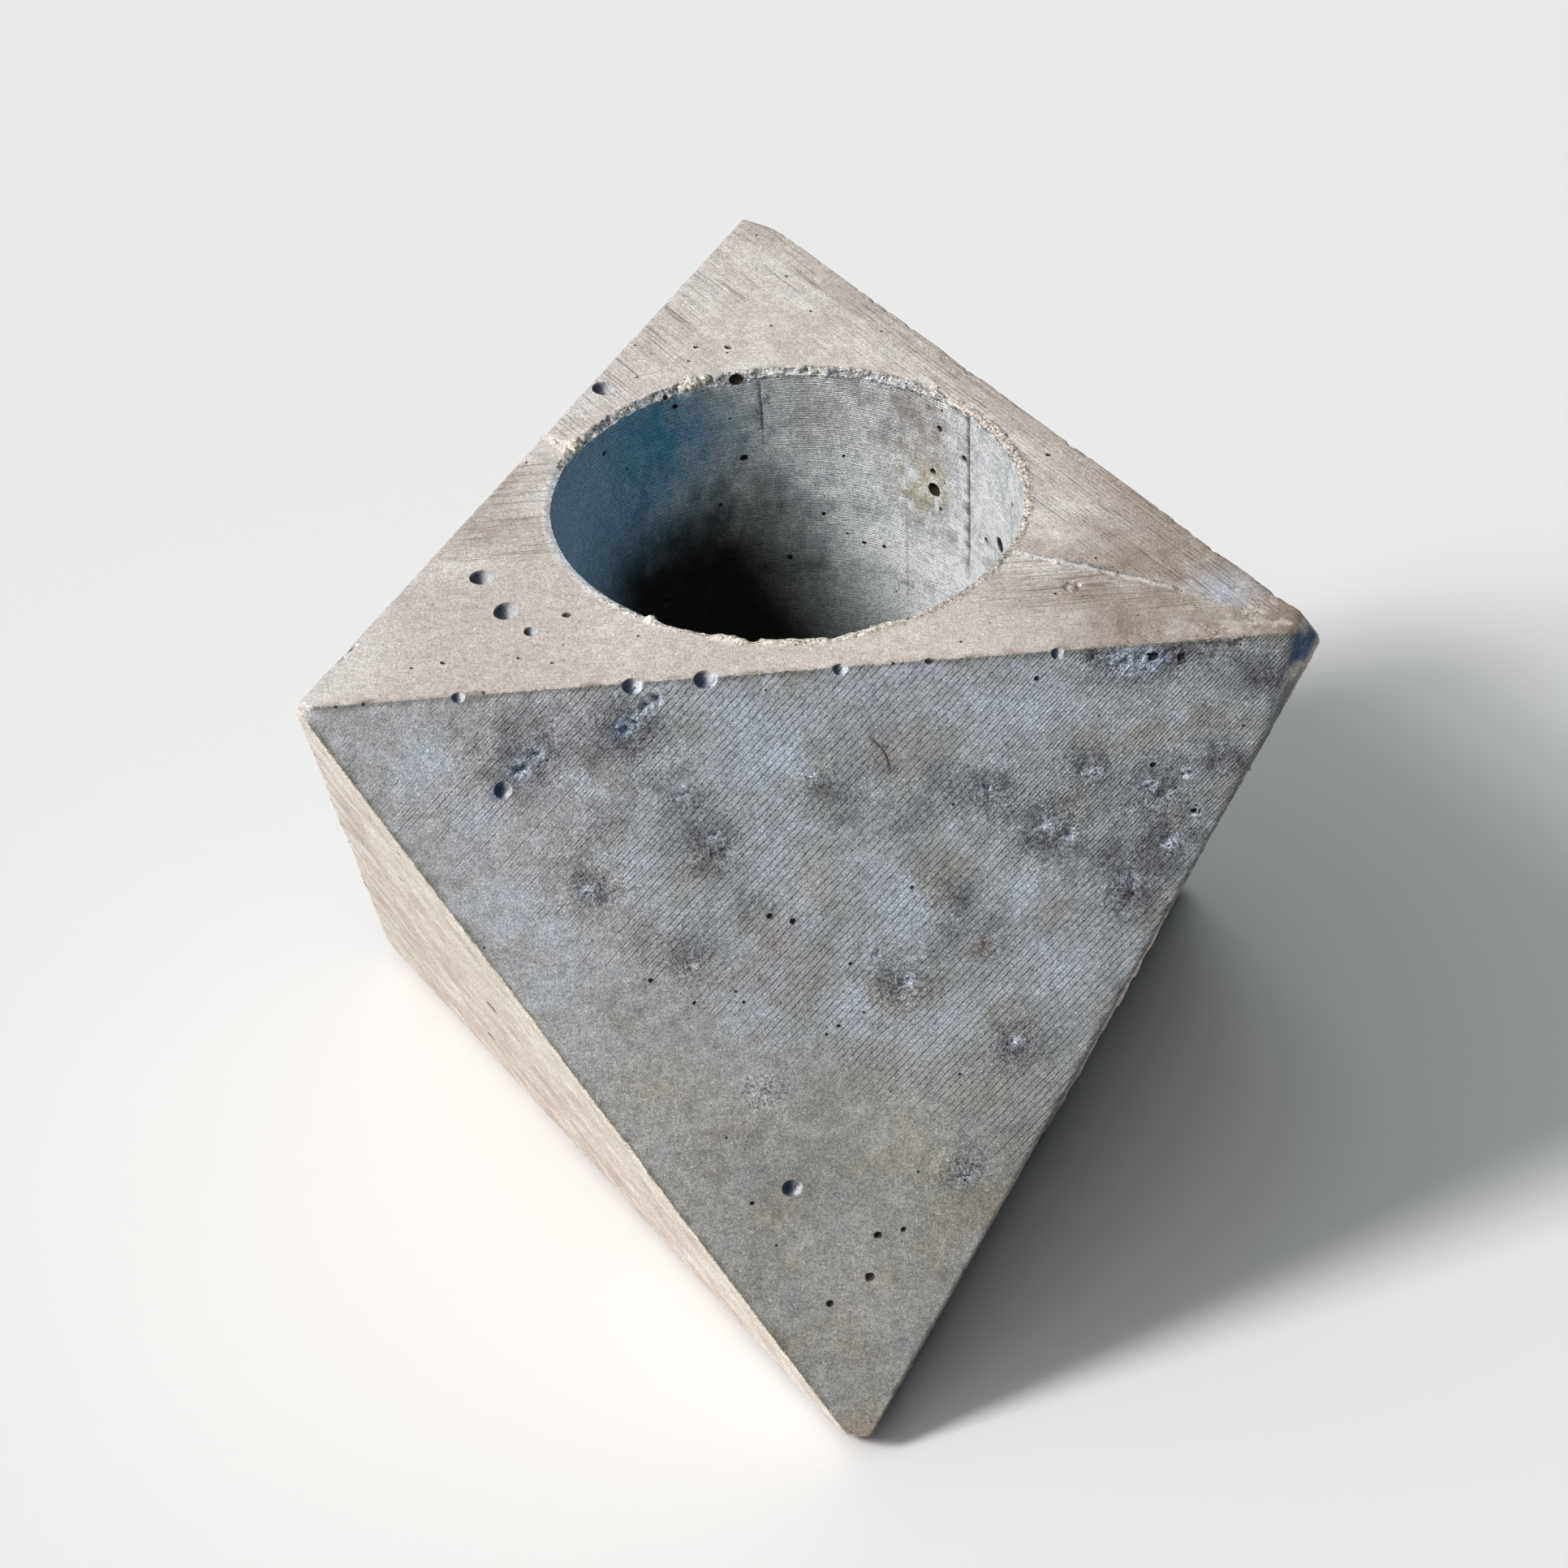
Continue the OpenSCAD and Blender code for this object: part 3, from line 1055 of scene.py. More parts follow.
def line_map(mesh, points):
    """Write the UV map of the mould's lines, one zone at a time."""
    triangles = np.zeros(len(mesh.loops), int)
    mesh.loops.foreach_get("vertex_index", triangles)
    triangles = triangles.reshape(-1, 3)
    middles = points[triangles].mean(axis=1)
    face_zone, _ = zone_of(middles)
    uv = np.zeros((len(triangles), 3, 2))
    far_half = distance_across_seam(middles) > 0
    for name, ruler in RULERS.items():
        on_face = face_zone == ZONES.index(name)
        parts = [(on_face, LINES[name])]
        if name == "top":
            parts = [(on_face & ~far_half, LINES[name]), (on_face & far_half, FAR_HALF_LINES)]
        for chosen, (run_along, run_in, pitch) in parts:
            a, b, _ = ruler.measure(points[triangles[chosen]].reshape(-1, 3))
            across = (b * run_along - a * run_in) / pitch
            uv[chosen] = np.stack([across, a * run_along + b * run_in], axis=1).reshape(-1, 3, 2)
    chosen = face_zone == WELL_ZONE
    ends = points[triangles[chosen]]
    turn = np.arctan2(ends[..., 1], ends[..., 0])
    first = turn[:, :1]
    turn = first + (turn - first + np.pi) % math.tau - np.pi
    uv[chosen, :, 0] = (BODY_TOP - ends[..., 2]) / (2 * LAYER_HEIGHT)
    uv[chosen, :, 1] = turn * WELL_RADIUS
    layer = mesh.uv_layers.new(name="mould_lines")
    layer.uv.foreach_set("vector", uv.ravel())


line_map(body, cast_points)
print("line map on %d corners" % len(body.loops))

# %% [markdown]
# ## Tones
# Cast concrete is never one grey. The top is pale and warm with brown scratches,
# the front is cool and cloudy, the left is creamy, and the well is blue on its left.
# The front's cool, darker grey and the left's bright cream stand partly for how the
# window light falls on them, as painted light, and the well's blue is painted shade.
# All colours are painted from these tones, some of them darkened.

# %% Tones
def tone(red, green, blue):
    """A colour as it is seen on a screen, made linear for the shader."""
    seen = np.array([red, green, blue]) / 255
    return np.where(seen <= 0.04045, seen / 12.92, ((seen + 0.055) / 1.055) ** 2.4)


PALE = tone(225, 216, 212)
WARM = tone(206, 193, 186)
BROWN = tone(158, 141, 129)
COOL = tone(167, 171, 176)
CLOUD_DARK = tone(108, 108, 111)
CLOUD_LIGHT = tone(188, 195, 208)
FOOT_GREY = tone(158, 157, 155)
LEFT_GREY = tone(186, 183, 184)
LOW_GREY = tone(176, 173, 169)
OLIVE = tone(146, 140, 126)
CREAM = tone(224, 217, 208)
CREAM_DARK = tone(190, 176, 162)
SAND = tone(232, 224, 210)
PLAIN = tone(186, 181, 175)
RIM_GREY = tone(170, 174, 178)
WALL_PALE = tone(244, 244, 243)
WALL_DULL = tone(202, 204, 206)
# The blue on the left of the well is painted shade
WELL_BLUE_SHADE = tone(104, 178, 216)
BLUE_GREY = tone(166, 208, 238)
# Nearly black painted shade low in the well
WALL_FOOT_SHADE = tone(16, 14, 5)
OCHRE = tone(196, 182, 142)
RUST = tone(150, 128, 114)
# A painted white highlight: on the seam's bead, the left of the mouth and the lit side of wide voids
HIGHLIGHT_WHITE = tone(214, 216, 220)
# Bluish painted shade: in cavities, in wide voids and on the right corner's facet
SHADE_BLUE = tone(80, 106, 140)
# Dark marks, and painted shade inside the voids
DARK_MARKS_AND_SHADE = tone(70, 58, 50)


def laid(base, *coats):
    """Coats of paint over a base: each is a tone, and how strong it is at each point."""
    for coat, strength in coats:
        base = base + (coat - base) * np.clip(strength, 0, 1)[..., None]
    return base


def spot(a, b, along, inward, radius):
    """1 in the middle of a round spot on a face, and 0 away from it."""
    return np.exp(-((a - along) ** 2 + (b - inward) ** 2) / radius ** 2)


print("a pale tone in linear light: %.2f %.2f %.2f" % tuple(PALE))

# %% [markdown]
# ## The colours of the top face
# Warm grey, browner towards the right corner and along its right arris. The seam
# carries a painted white highlight on its bead and a dark painted shadow in the groove
# beside it, and sand lies at the right corner.

# %% The colours of the top face
def paint_top(points):
    a, b, _ = RULERS["top"].measure(points)
    mottle = ripple(points, 7.0, seed=22, octaves=4)
    fine = ripple(points, 1.5, seed=24, octaves=3)
    front_edge = distance_to_arris(points, "left", "right")
    right_edge = distance_to_arris(points, "far", "right") + 1.2 * ripple(points, 6.0, seed=21)
    corner = distance_to_corner(points, "right")
    beyond_seam = distance_across_seam(points)
    across = seam_shift(points)
    seam = (out_from_axis(points) > WELL_RADIUS + 0.8) * (points[:, 0] > 0) * fade(corner, 11, 17)
    return laid(
        PALE,
        (WARM, 0.35 + 0.5 * mottle + 0.35 * fine),
        (WARM, 0.8 * fade(a, 5, 12) * fall(a, 18, 34) * fall(b, 14, 20)),
        (WARM, 0.55 * fade(a, 26, 34) * fall(b, 5, 10)),
        (BROWN, (0.2 + fine) * fall(front_edge, 0.15, 0.7)),
        (BROWN, (beyond_seam > 0) * (0.30 + 0.4 * mottle) * spot(a, b, 66.5, 17.0, 8.0)),
        (BROWN, fall(right_edge, 1.0, 5.0) * (0.35 + 0.2 * fade(a, 50, 74))),
        (BROWN * 0.85, (0.85 + 0.5 * mottle + 0.3 * fine) * fall(corner, 12, 30)),
        (BROWN, 0.22 * fall(a, 20, 26) * fade(b, 16, 22) * fall(b, 36, 42) * (0.8 + 2 * mottle)),
        # Painted white highlight on the seam's bead; the next line is painted shadow in its groove
        (HIGHLIGHT_WHITE, 0.5 * seam * peak(across, -0.12, 0.16)),
        (RIM_GREY * 0.35, 0.7 * seam * peak(across, 0.34, 0.2)),
        (BROWN, 0.35 * seam * fade(across, 0.3, 0.8) * fall(across, 1.0, 4.0)),
        (BROWN, 0.4 * seam * fade(-across, 2.0, 4.0) * fade(b, 4, 8) * fade(a, 54, 62)),
        (CLOUD_LIGHT, 0.7 * spot(a, b, 78.2, 6.4, 2.5) * fade(beyond_seam, -0.4, 0.4)),
        (SAND, 0.45 * fade(fine, 0.05, 0.35) * fall(corner, 8, 20) * fall(b, 3, 9)),
    )


# %% [markdown]
# ## The colours of the front face
# Cool grey that turns warmer towards the foot. Where the mix stayed rough there are
# dark clouds, with bluish light ones between them. Small stains have iron or ochre
# in them, the cavities carry bluish painted shade, and the deepest rough ground shows a pale inside.

# %% The colours of the front face
# Clouds on the front face: along, in, radius, and darker (-) or lighter (+)
FRONT_CLOUDS = [
    (18.2, 6.0, 4.7, -0.6), (27.2, 4.2, 4.6, -0.9), (31.6, 10.3, 3.2, -0.5), (24.6, 12.6, 2.5, -0.4),
    (23.3, 17.8, 3.6, -0.7), (33.6, 15.0, 3.2, -0.7), (30.4, 24.6, 3.2, -0.6), (44.6, 11.6, 3.2, -0.7),
    (49.8, 14.0, 2.6, -0.4), (53.4, 11.2, 3.0, -0.45), (57.3, 12.4, 3.0, -0.6), (62.0, 16.2, 3.4, -0.6),
    (66.0, 10.8, 2.8, -0.6), (71.3, 13.0, 3.4, -0.6), (72.0, 18.2, 3.2, -0.7), (67.6, 19.0, 2.4, -0.5),
    (68.8, 22.2, 3.0, -0.8), (77.0, 10.9, 2.6, -0.6), (67.0, 1.2, 2.2, -0.8), (70.5, 1.7, 2.8, -0.9),
    (74.0, 1.4, 2.0, -0.6), (80.8, 3.4, 2.6, -0.7), (53.6, 21.8, 3.2, -0.6), (48.6, 29.0, 3.6, -0.6),
    (56.5, 26.0, 2.4, -0.4), (58.5, 35.4, 3.4, -0.6), (53.4, 46.8, 3.0, -0.4), (36.6, 20.5, 2.0, -0.3),
    (10.6, 5.2, 2.4, 0.5), (15.0, 11.5, 3.0, 0.5), (22.6, 8.0, 1.8, 0.5), (37.0, 5.5, 4.6, 0.5),
    (40.6, 8.4, 2.4, 0.4), (39.5, 18.0, 2.6, 0.5), (26.5, 15.0, 2.6, 0.5), (17.0, 19.6, 3.6, 0.4),
    (49.6, 22.4, 2.8, 0.5), (45.0, 30.8, 3.2, 0.6), (50.0, 34.6, 3.6, 0.6), (53.8, 32.0, 3.0, 0.5),
    (60.6, 5.0, 4.2, 0.5), (67.4, 6.6, 3.0, 0.5), (72.4, 7.0, 2.6, 0.5), (61.0, 20.8, 2.8, 0.6),
    (61.6, 28.8, 3.8, 0.5), (36.0, 30.0, 3.6, 0.4), (49.2, 41.0, 4.2, 0.5), (35.5, 38.5, 3.0, 0.4),
    (40.6, 22.0, 2.6, 0.3), (20.0, 26.0, 3.0, 0.3), (43.0, 59.0, 5.0, 0.45), (38.0, 53.0, 3.0, 0.4),
]
# Coloured stains on the front face, and bluish painted shade in its cavities and rough hollows: along, in,
# radius, colour, strength
FRONT_STAINS_AND_SHADE = [
    (38.6, 23.8, 1.8, RUST, 0.45), (41.9, 18.9, 2.2, OCHRE, 0.16), (49.0, 7.6, 2.4, RUST, 0.2),
    (36.5, 28.0, 3.0, RUST, 0.18), (56.3, 26.2, 0.9, RUST, 0.6), (62.5, 22.6, 1.4, RUST, 0.3),
    (27.0, 37.5, 3.0, OCHRE, 0.12), (48.4, 45.8, 3.0, OCHRE, 0.12), (55.0, 51.5, 2.2, RUST, 0.2),
    # The blue entries are painted shade in cavities and rough hollows
    (25.5, 13.2, 0.9, RUST, 0.3), (16.2, 8.6, 0.6, SHADE_BLUE, 0.9), (27.0, 4.2, 0.6, SHADE_BLUE, 0.9),
    (18.0, 6.9, 0.7, SHADE_BLUE, 0.5), (69.0, 1.6, 1.0, SHADE_BLUE, 0.6),
    (71.6, 1.6, 1.0, SHADE_BLUE, 0.5),
]
# Rough ground deeper than this is broken right open, and shows its pale inside
CRUMBLED = 0.65
# The face is dark along its arrises: both corners, how far in, how dark
DARK_ARRISES = [
    ("right", "base_front", 0.5, 0.5), ("left", "base_front", 0.8, 0.7), ("left", "right", 0.8, 0.6),
]


def warped(points, size, reach, seed):
    """The points, moved about by noise, so that a painted edge wanders."""
    return points + reach * np.stack([ripple(points, size, seed + i) for i in range(3)], axis=1)


def paint_front(points):
    a, b, _ = RULERS["front"].measure(warped(points, 5.0, 0.9, 31))
    mottle = ripple(points, 8.0, seed=33, octaves=4)
    fine = ripple(points, 1.6, seed=35, octaves=3)
    low = b - 0.3 * a
    olive = ripple(points, 5.0, seed=36, octaves=5) + 0.4 * fade(low, 10, 40)
    clouds = 0.25 * mottle + 0.40 * fine - 0.25 * fade(a, 48, 76)
    for along, inward, radius, strength in FRONT_CLOUDS:
        reach = radius * (0.78 if strength < 0 else 0.85)
        clouds += 1.25 * strength * spot(a, b, along, inward, reach)
    stains_and_shade = [(stain_and_shade, strength * spot(a, b, along, inward, radius))
              for along, inward, radius, stain_and_shade, strength in FRONT_STAINS_AND_SHADE]
    colours = laid(
        COOL,
        (FOOT_GREY, fade(low, 5, 28)),
        (OLIVE, np.minimum(0.1 + 0.6 * olive, 0.6)),
        (LEFT_GREY, 0.7 * fall(a, 14, 42)),
        (CLOUD_DARK, -clouds),
        (laid(CLOUD_LIGHT, (LOW_GREY, fade(b, 26, 44))), clouds),
        *stains_and_shade,
    )
    a, b, _ = RULERS["front"].measure(points)
    for along, inward, radius, deep in ROUGH_GROUND["front"]:
        if deep > CRUMBLED:
            colours = laid(colours, (CLOUD_LIGHT, deep * spot(a, b, along, inward, 0.8 * radius)))
    colours = laid(colours, (DARK_MARKS_AND_SHADE * 0.5, 0.85 * fall(from_hair_mark(points), 0.04, 0.16)))
    for start, end, reach, strength in DARK_ARRISES:
        side = distance_to_arris(points, start, end) + 0.25 * reach * (fine + mottle)
        colours = laid(colours, (OLIVE * 0.5, strength * fall(side, 0.2 * reach, reach)))
    return laid(colours, (BROWN, 0.6 * fall(distance_to_corner(points, "base_front"), 2, 6)))


print("front face: %d clouds, %d stains" % (len(FRONT_CLOUDS), len(FRONT_STAINS_AND_SHADE)))

# %% [markdown]
# ## The colours of the other faces
# The left face is creamy, with a sandy rim along the arris that it shares with the
# front face. The faces out of sight are a plain mottled grey, with painted shade
# along the right arris of the front face, where the right face turns away from the window.

# %% The colours of the other faces
def paint_left(points):
    mottle = ripple(points, 3.0, seed=41, octaves=4)
    shared = distance_to_arris(points, "left", "base_front")
    darker = 0.3 + 0.3 * fade(shared, 6, 30) + 0.7 * mottle
    return laid(CREAM, (CREAM_DARK, darker), (SAND, 0.5 * fall(shared, 0.8, 2.6)))


def paint_hidden(points):
    shared = distance_to_arris(points, "right", "base_front")
    return laid(
        PLAIN,
        (CLOUD_DARK, 0.15 + 0.6 * ripple(points, 9.0, seed=51, octaves=4)),
        (WARM, 0.3 + 0.7 * ripple(points, 13.0, seed=52)),
        # Painted shade along the right arris of the front face, where the right face turns away from the
        # window
        (CLOUD_DARK, 0.9 * fall(shared, 1.0, 2.6)),
    )


# %% [markdown]
# ## The colours of the well
# The wall is pale, and painted paler low on the right, where the window's light
# falls. It is brown and ochre higher up behind. Its left side carries bluish painted
# shade, painted shade turns it nearly black towards the foot of that side and darkens
# it deep down, and a few level bands and a dusty upright line show how the core was made.

# %% The colours of the well
# Level bands on the wall: depth below the top, width, strength
WALL_BANDS = [(12.8, 0.4, 0.52), (15.4, 0.9, 0.585), (22.6, 0.4, 0.65)]


def paint_well(points):
    angle = angle_round_well(points) % 360
    depth = depth_below_top(points)
    mottle = ripple(points, 5.0, seed=61, octaves=4)
    fine = ripple(points, 1.2, seed=62, octaves=3)
    # Painted light: the wall is left paler low on the right, where the window's light falls
    low_right = fall(angle, 66, 84) * fade(depth, 13, 19)
    dull = np.clip(0.35 + 0.5 * mottle + 0.9 * fine, 0, 1) * (1 - 0.9 * low_right)
    brown = fade(angle, 36, 46) * fall(angle, 74, 96) * fall(depth, 6, 10)
    bands = [(WALL_DULL * 0.45, strength * peak(depth + 0.4 * mottle, level, width) * fade(fine, -0.4, 0.2))
             for level, width, strength in WALL_BANDS]
    # Bluish painted shade high on the left of the wall
    stain_and_shade = peak(angle + 5 * mottle, 123, 17) * peak(depth + 1.5 * mottle, 5, 6)
    # Painted shade, nearly black, towards the foot of the left side
    dirt_and_shade = fade(depth + 2.0 * mottle + fine, 5, 20) * fade(angle + 1.2 * (depth - 12), 76, 114)
    dirt_and_shade = dirt_and_shade * fall(angle, 215, 240) * (1 - 0.65 * fade(angle, 130, 160) * fall(depth, 27, 35))
    return laid(
        WALL_PALE,
        (WALL_DULL, dull),
        (BROWN, brown * (0.25 + 0.5 * mottle + 0.3 * fine)),
        (OCHRE, peak(angle, 50, 8) * peak(depth, 10.5, 2.8) * (0.6 + 1.2 * fine)),
        *bands,
        (BROWN * 0.5, peak(angle, 34.0, 0.8) * fall(depth, 16, 20) * (0.35 + 0.6 * fine)),
        # Bluish painted shade over the left side of the wall
        (BLUE_GREY, fade(angle + 6 * mottle, 98, 136) * fall(angle, 215, 235)),
        (WELL_BLUE_SHADE, stain_and_shade * (1.0 + 0.5 * fine)),
        (WALL_FOOT_SHADE, 0.99 * dirt_and_shade),
        # Painted shade, darker towards the floor of the well
        (WALL_FOOT_SHADE, 0.6 * fade(depth, 34, 44)),
    )


print("wall of the well: %d bands" % len(WALL_BANDS))

# %% [markdown]
# ## Mouth, voids and corners
# What is painted over the faces: the broken mouth is grey and grainy behind,
# creamy elsewhere, and painted white on the left as a highlight. A void is painted
# dark inside as shade, and a wide one has bluish painted shade on its left, which the
# window doesn't reach, and a painted highlight on its right. A broken corner is sandy,
# and the lower part of the right one carries bluish painted shade.

# %% Mouth, voids and corners
def paint_mouth(colours, points):
    angle = angle_round_well(points) % 360
    grains = ripple(points, 0.6, seed=81, octaves=2)
    behind = fade(angle, 30, 60) * fall(angle, 156, 168)
    on_left = fade(angle, 156, 168) * fall(angle, 225, 240)
    strength = fall(distance_to_rim(points), 0.3, 0.65)
    return laid(
        colours,
        (RIM_GREY, strength * behind * (0.75 + 0.3 * grains)),
        # Painted white highlight on the left of the mouth
        (HIGHLIGHT_WHITE, 0.8 * strength * on_left),
        (CREAM_DARK, 0.5 * strength * (1 - behind - on_left)),
        (SAND, (0.4 + 0.4 * behind) * strength * fade(grains, 0.1, 0.45)),
        (DARK_MARKS_AND_SHADE, 0.7 * strength * behind * fade(-grains, 0.2, 0.5)),
        (SAND, mouth_lumps(points) / 0.2),
    )


def paint_voids(colours, points, below):
    beyond = out_from_axis(points) - wall_radius(angle_round_well(points), depth_below_top(points))
    for middle, radius, dark in void_balls:
        near = np.linalg.norm(points - middle, axis=1) < 1.25 * radius
        in_wall = math.hypot(middle[0], middle[1]) < WELL_RADIUS + 0.7
        inside = fade((beyond if in_wall else below)[near], 0.02, 0.12)
        if dark < 0.5:
            # A wide void: bluish painted shade on its left, away from the window, and a painted highlight
            # on its right
            side = (points[near, 0] - middle[0]) / radius
            colours[near] = laid(
                colours[near],
                (SHADE_BLUE * 0.5, 0.9 * inside * fall(side, -0.3, 0.3)),
                (HIGHLIGHT_WHITE * 1.1, 0.95 * inside * fade(side, 0.0, 0.4)),
            )
        # Painted shade inside every void
        colours[near] = laid(colours[near], (DARK_MARKS_AND_SHADE * 0.25, dark * inside))
    return colours


def paint_broken_corners(colours, points):
    off_face = np.abs([ruler.measure(points)[2] for ruler in RULERS.values()]).min(axis=0)
    for name in CORNERS:
        facet = fade(off_face, 0.15, 0.5) * fall(distance_to_corner(points, name), 5.0, 6.0)
        colours = laid(colours, (SAND, 0.4 * facet))
        if name == ROUND_CORNER:
            # Bluish painted shade on the lower part of the right corner's facet
            depth = depth_below_top(points) + 0.6 * ripple(points, 2.0, seed=91)
            blue = 0.95 * facet * fade(depth, 0.4, 1.1) * fall(depth, 2.6, 3.6)
            colours = laid(colours, (SHADE_BLUE * 0.6, blue))
    return colours


# %% [markdown]
# ## Painting the casting
# A colour attribute called tone holds everything broader than a millimetre. Its
# alpha says how strong the fine grain is that the material adds, because the top
# face and the wall came out of the mould smoother than the rest.

# %% Painting the casting
PAINTERS = {"top": paint_top, "front": paint_front, "left": paint_left, "well": paint_well}
GRAIN = {"top": 0.44, "well": 0.62}
OTHER_GRAIN = 0.65


def by_zone(workers, other, points, zone, width):
    """Let the function of each zone give width numbers for each of its points."""
    found = np.zeros((len(points), width))
    for number, name in enumerate(ZONES):
        here = zone == number
        found[here] = workers.get(name, other)(points[here])
    return found


def write_colour(mesh, name, colours):
    layer = mesh.color_attributes.new(name, "FLOAT_COLOR", "POINT")
    layer.data.foreach_set("color", np.ascontiguousarray(colours).ravel())


painted = by_zone(PAINTERS, paint_hidden, cast_points, zone, 3)
painted = laid(painted, (DARK_MARKS_AND_SHADE, 0.8 * np.clip(lines_on_wall / WALL_LINE_DEPTH, 0, 1)))
painted = paint_broken_corners(painted, cast_points)
painted = paint_mouth(painted, cast_points)
painted = paint_voids(painted, cast_points, below)
grain_here = np.array([GRAIN.get(name, OTHER_GRAIN) for name in ZONES])[zone]
write_colour(body, "tone", np.column_stack([painted, grain_here]))
print("tones painted on %d points" % len(cast_points))

# %% [markdown]
# ## Where the mould left its marks
# A second attribute tells the material where the fine marks are: red for printed
# lines, green for brown scratches, blue for rough ground, and alpha where a
# fainter line runs between every two lines, as it does in most of the well.

# %% Where the mould left its marks
def marks_top(points):
    a, b, _ = RULERS["top"].measure(points)
    patches = ripple(points, 6.0, seed=72)
    by_left = 0.7 * fall(distance_to_arris(points, "far", "left") + 3 * patches, 2, 12) * fade(b, 30, 38)
    by_right = 0.6 * fall(distance_to_arris(points, "far", "right") + 2 * patches, 4, 12)
    left_of_well = fall(a, 20, 26) * fade(b, 15, 21) * fall(b, 38, 42)
    near_half = 0.15 + 0.65 * left_of_well + 0.75 * fade(a, 52, 64) * fade(b + patches, 3, 7)
    far_half = distance_across_seam(points) > 0
    scratches = np.where(far_half, 0.15 + np.maximum(by_left, by_right), near_half)
    lines = 0.25 + 0.3 * scratches + np.where(far_half, 0.12 * fade(a, 46, 58), 0.1 * fade(a, 50, 62))
    return np.stack([lines, scratches, 0 * a, 0 * a], axis=1)


def marks_front(points):
    a, b, _ = RULERS["front"].measure(points)
    patches = ripple(points, 10.0, seed=71)
    upper_right = fade(a, 54, 64) * fall(b, 12, 24)
    clouded = sum(max(0, -strength) * spot(a, b, along, inward, radius * 0.85)
                  for along, inward, radius, strength in FRONT_CLOUDS)
    clouded = np.clip(clouded, 0, 1)
    crumbled = np.max([spot(a, b, along, inward, radius)
                       for along, inward, radius, _ in ROUGH_GROUND["front"]], axis=0)
    worn_off = fade(b - 0.65 * a + 5 * patches, 4, 14)
    lines = (0.45 + 0.55 * fade(a, 2, 38) + 0.4 * patches) * (1 - 0.85 * worn_off)
    lines = (lines + 0.3 * clouded + 0.3 * upper_right) * (1 - 0.6 * crumbled)
    doubled = 0.7 * upper_right + 0.3 * fall(a + 4 * patches, 22, 34)
    return np.stack([lines, 0 * a, np.maximum(0.85 * clouded, crumbled), doubled], axis=1)


def marks_well(points):
    angle = angle_round_well(points) % 360
    doubled = 1 - 0.7 * fade(angle, 95, 125) * fall(angle, 215, 235)
    return np.stack([0 * angle + 1, 0 * angle, 0 * angle, doubled], axis=1)


def marks_left(points):
    return np.tile([0.3, 0.22, 0.0, 0.0], (len(points), 1))


def marks_elsewhere(points):
    return np.tile([0.4, 0.25, 0.0, 0.0], (len(points), 1))


MARKERS = {"top": marks_top, "front": marks_front, "left": marks_left, "well": marks_well}
marks = by_zone(MARKERS, marks_elsewhere, cast_points, zone, 4)
# It is rough too where the relief is deep and round the mouth, least on the left
smooth_rim = fade(np.abs(angle_round_well(cast_points)), 140, 155)
at_rim = fall(distance_to_rim(cast_points), 0.4, 0.8) * (1 - 0.8 * smooth_rim)
marks[:, 2] = np.max([marks[:, 2], fade(relief, 0.12, 0.30), at_rim], axis=0)
write_colour(body, "marks", np.clip(marks, 0, 1))
print("marks written")

# %% [markdown]
# ## Helpers for a material
# A material is a net of nodes. These helpers add one node at a time and join it to
# what feeds it, so that the recipe of the concrete reads from top to bottom.

# %% Helpers for a material
def linear(colour):
    return tuple(float(c) for c in colour) + (1.0,)


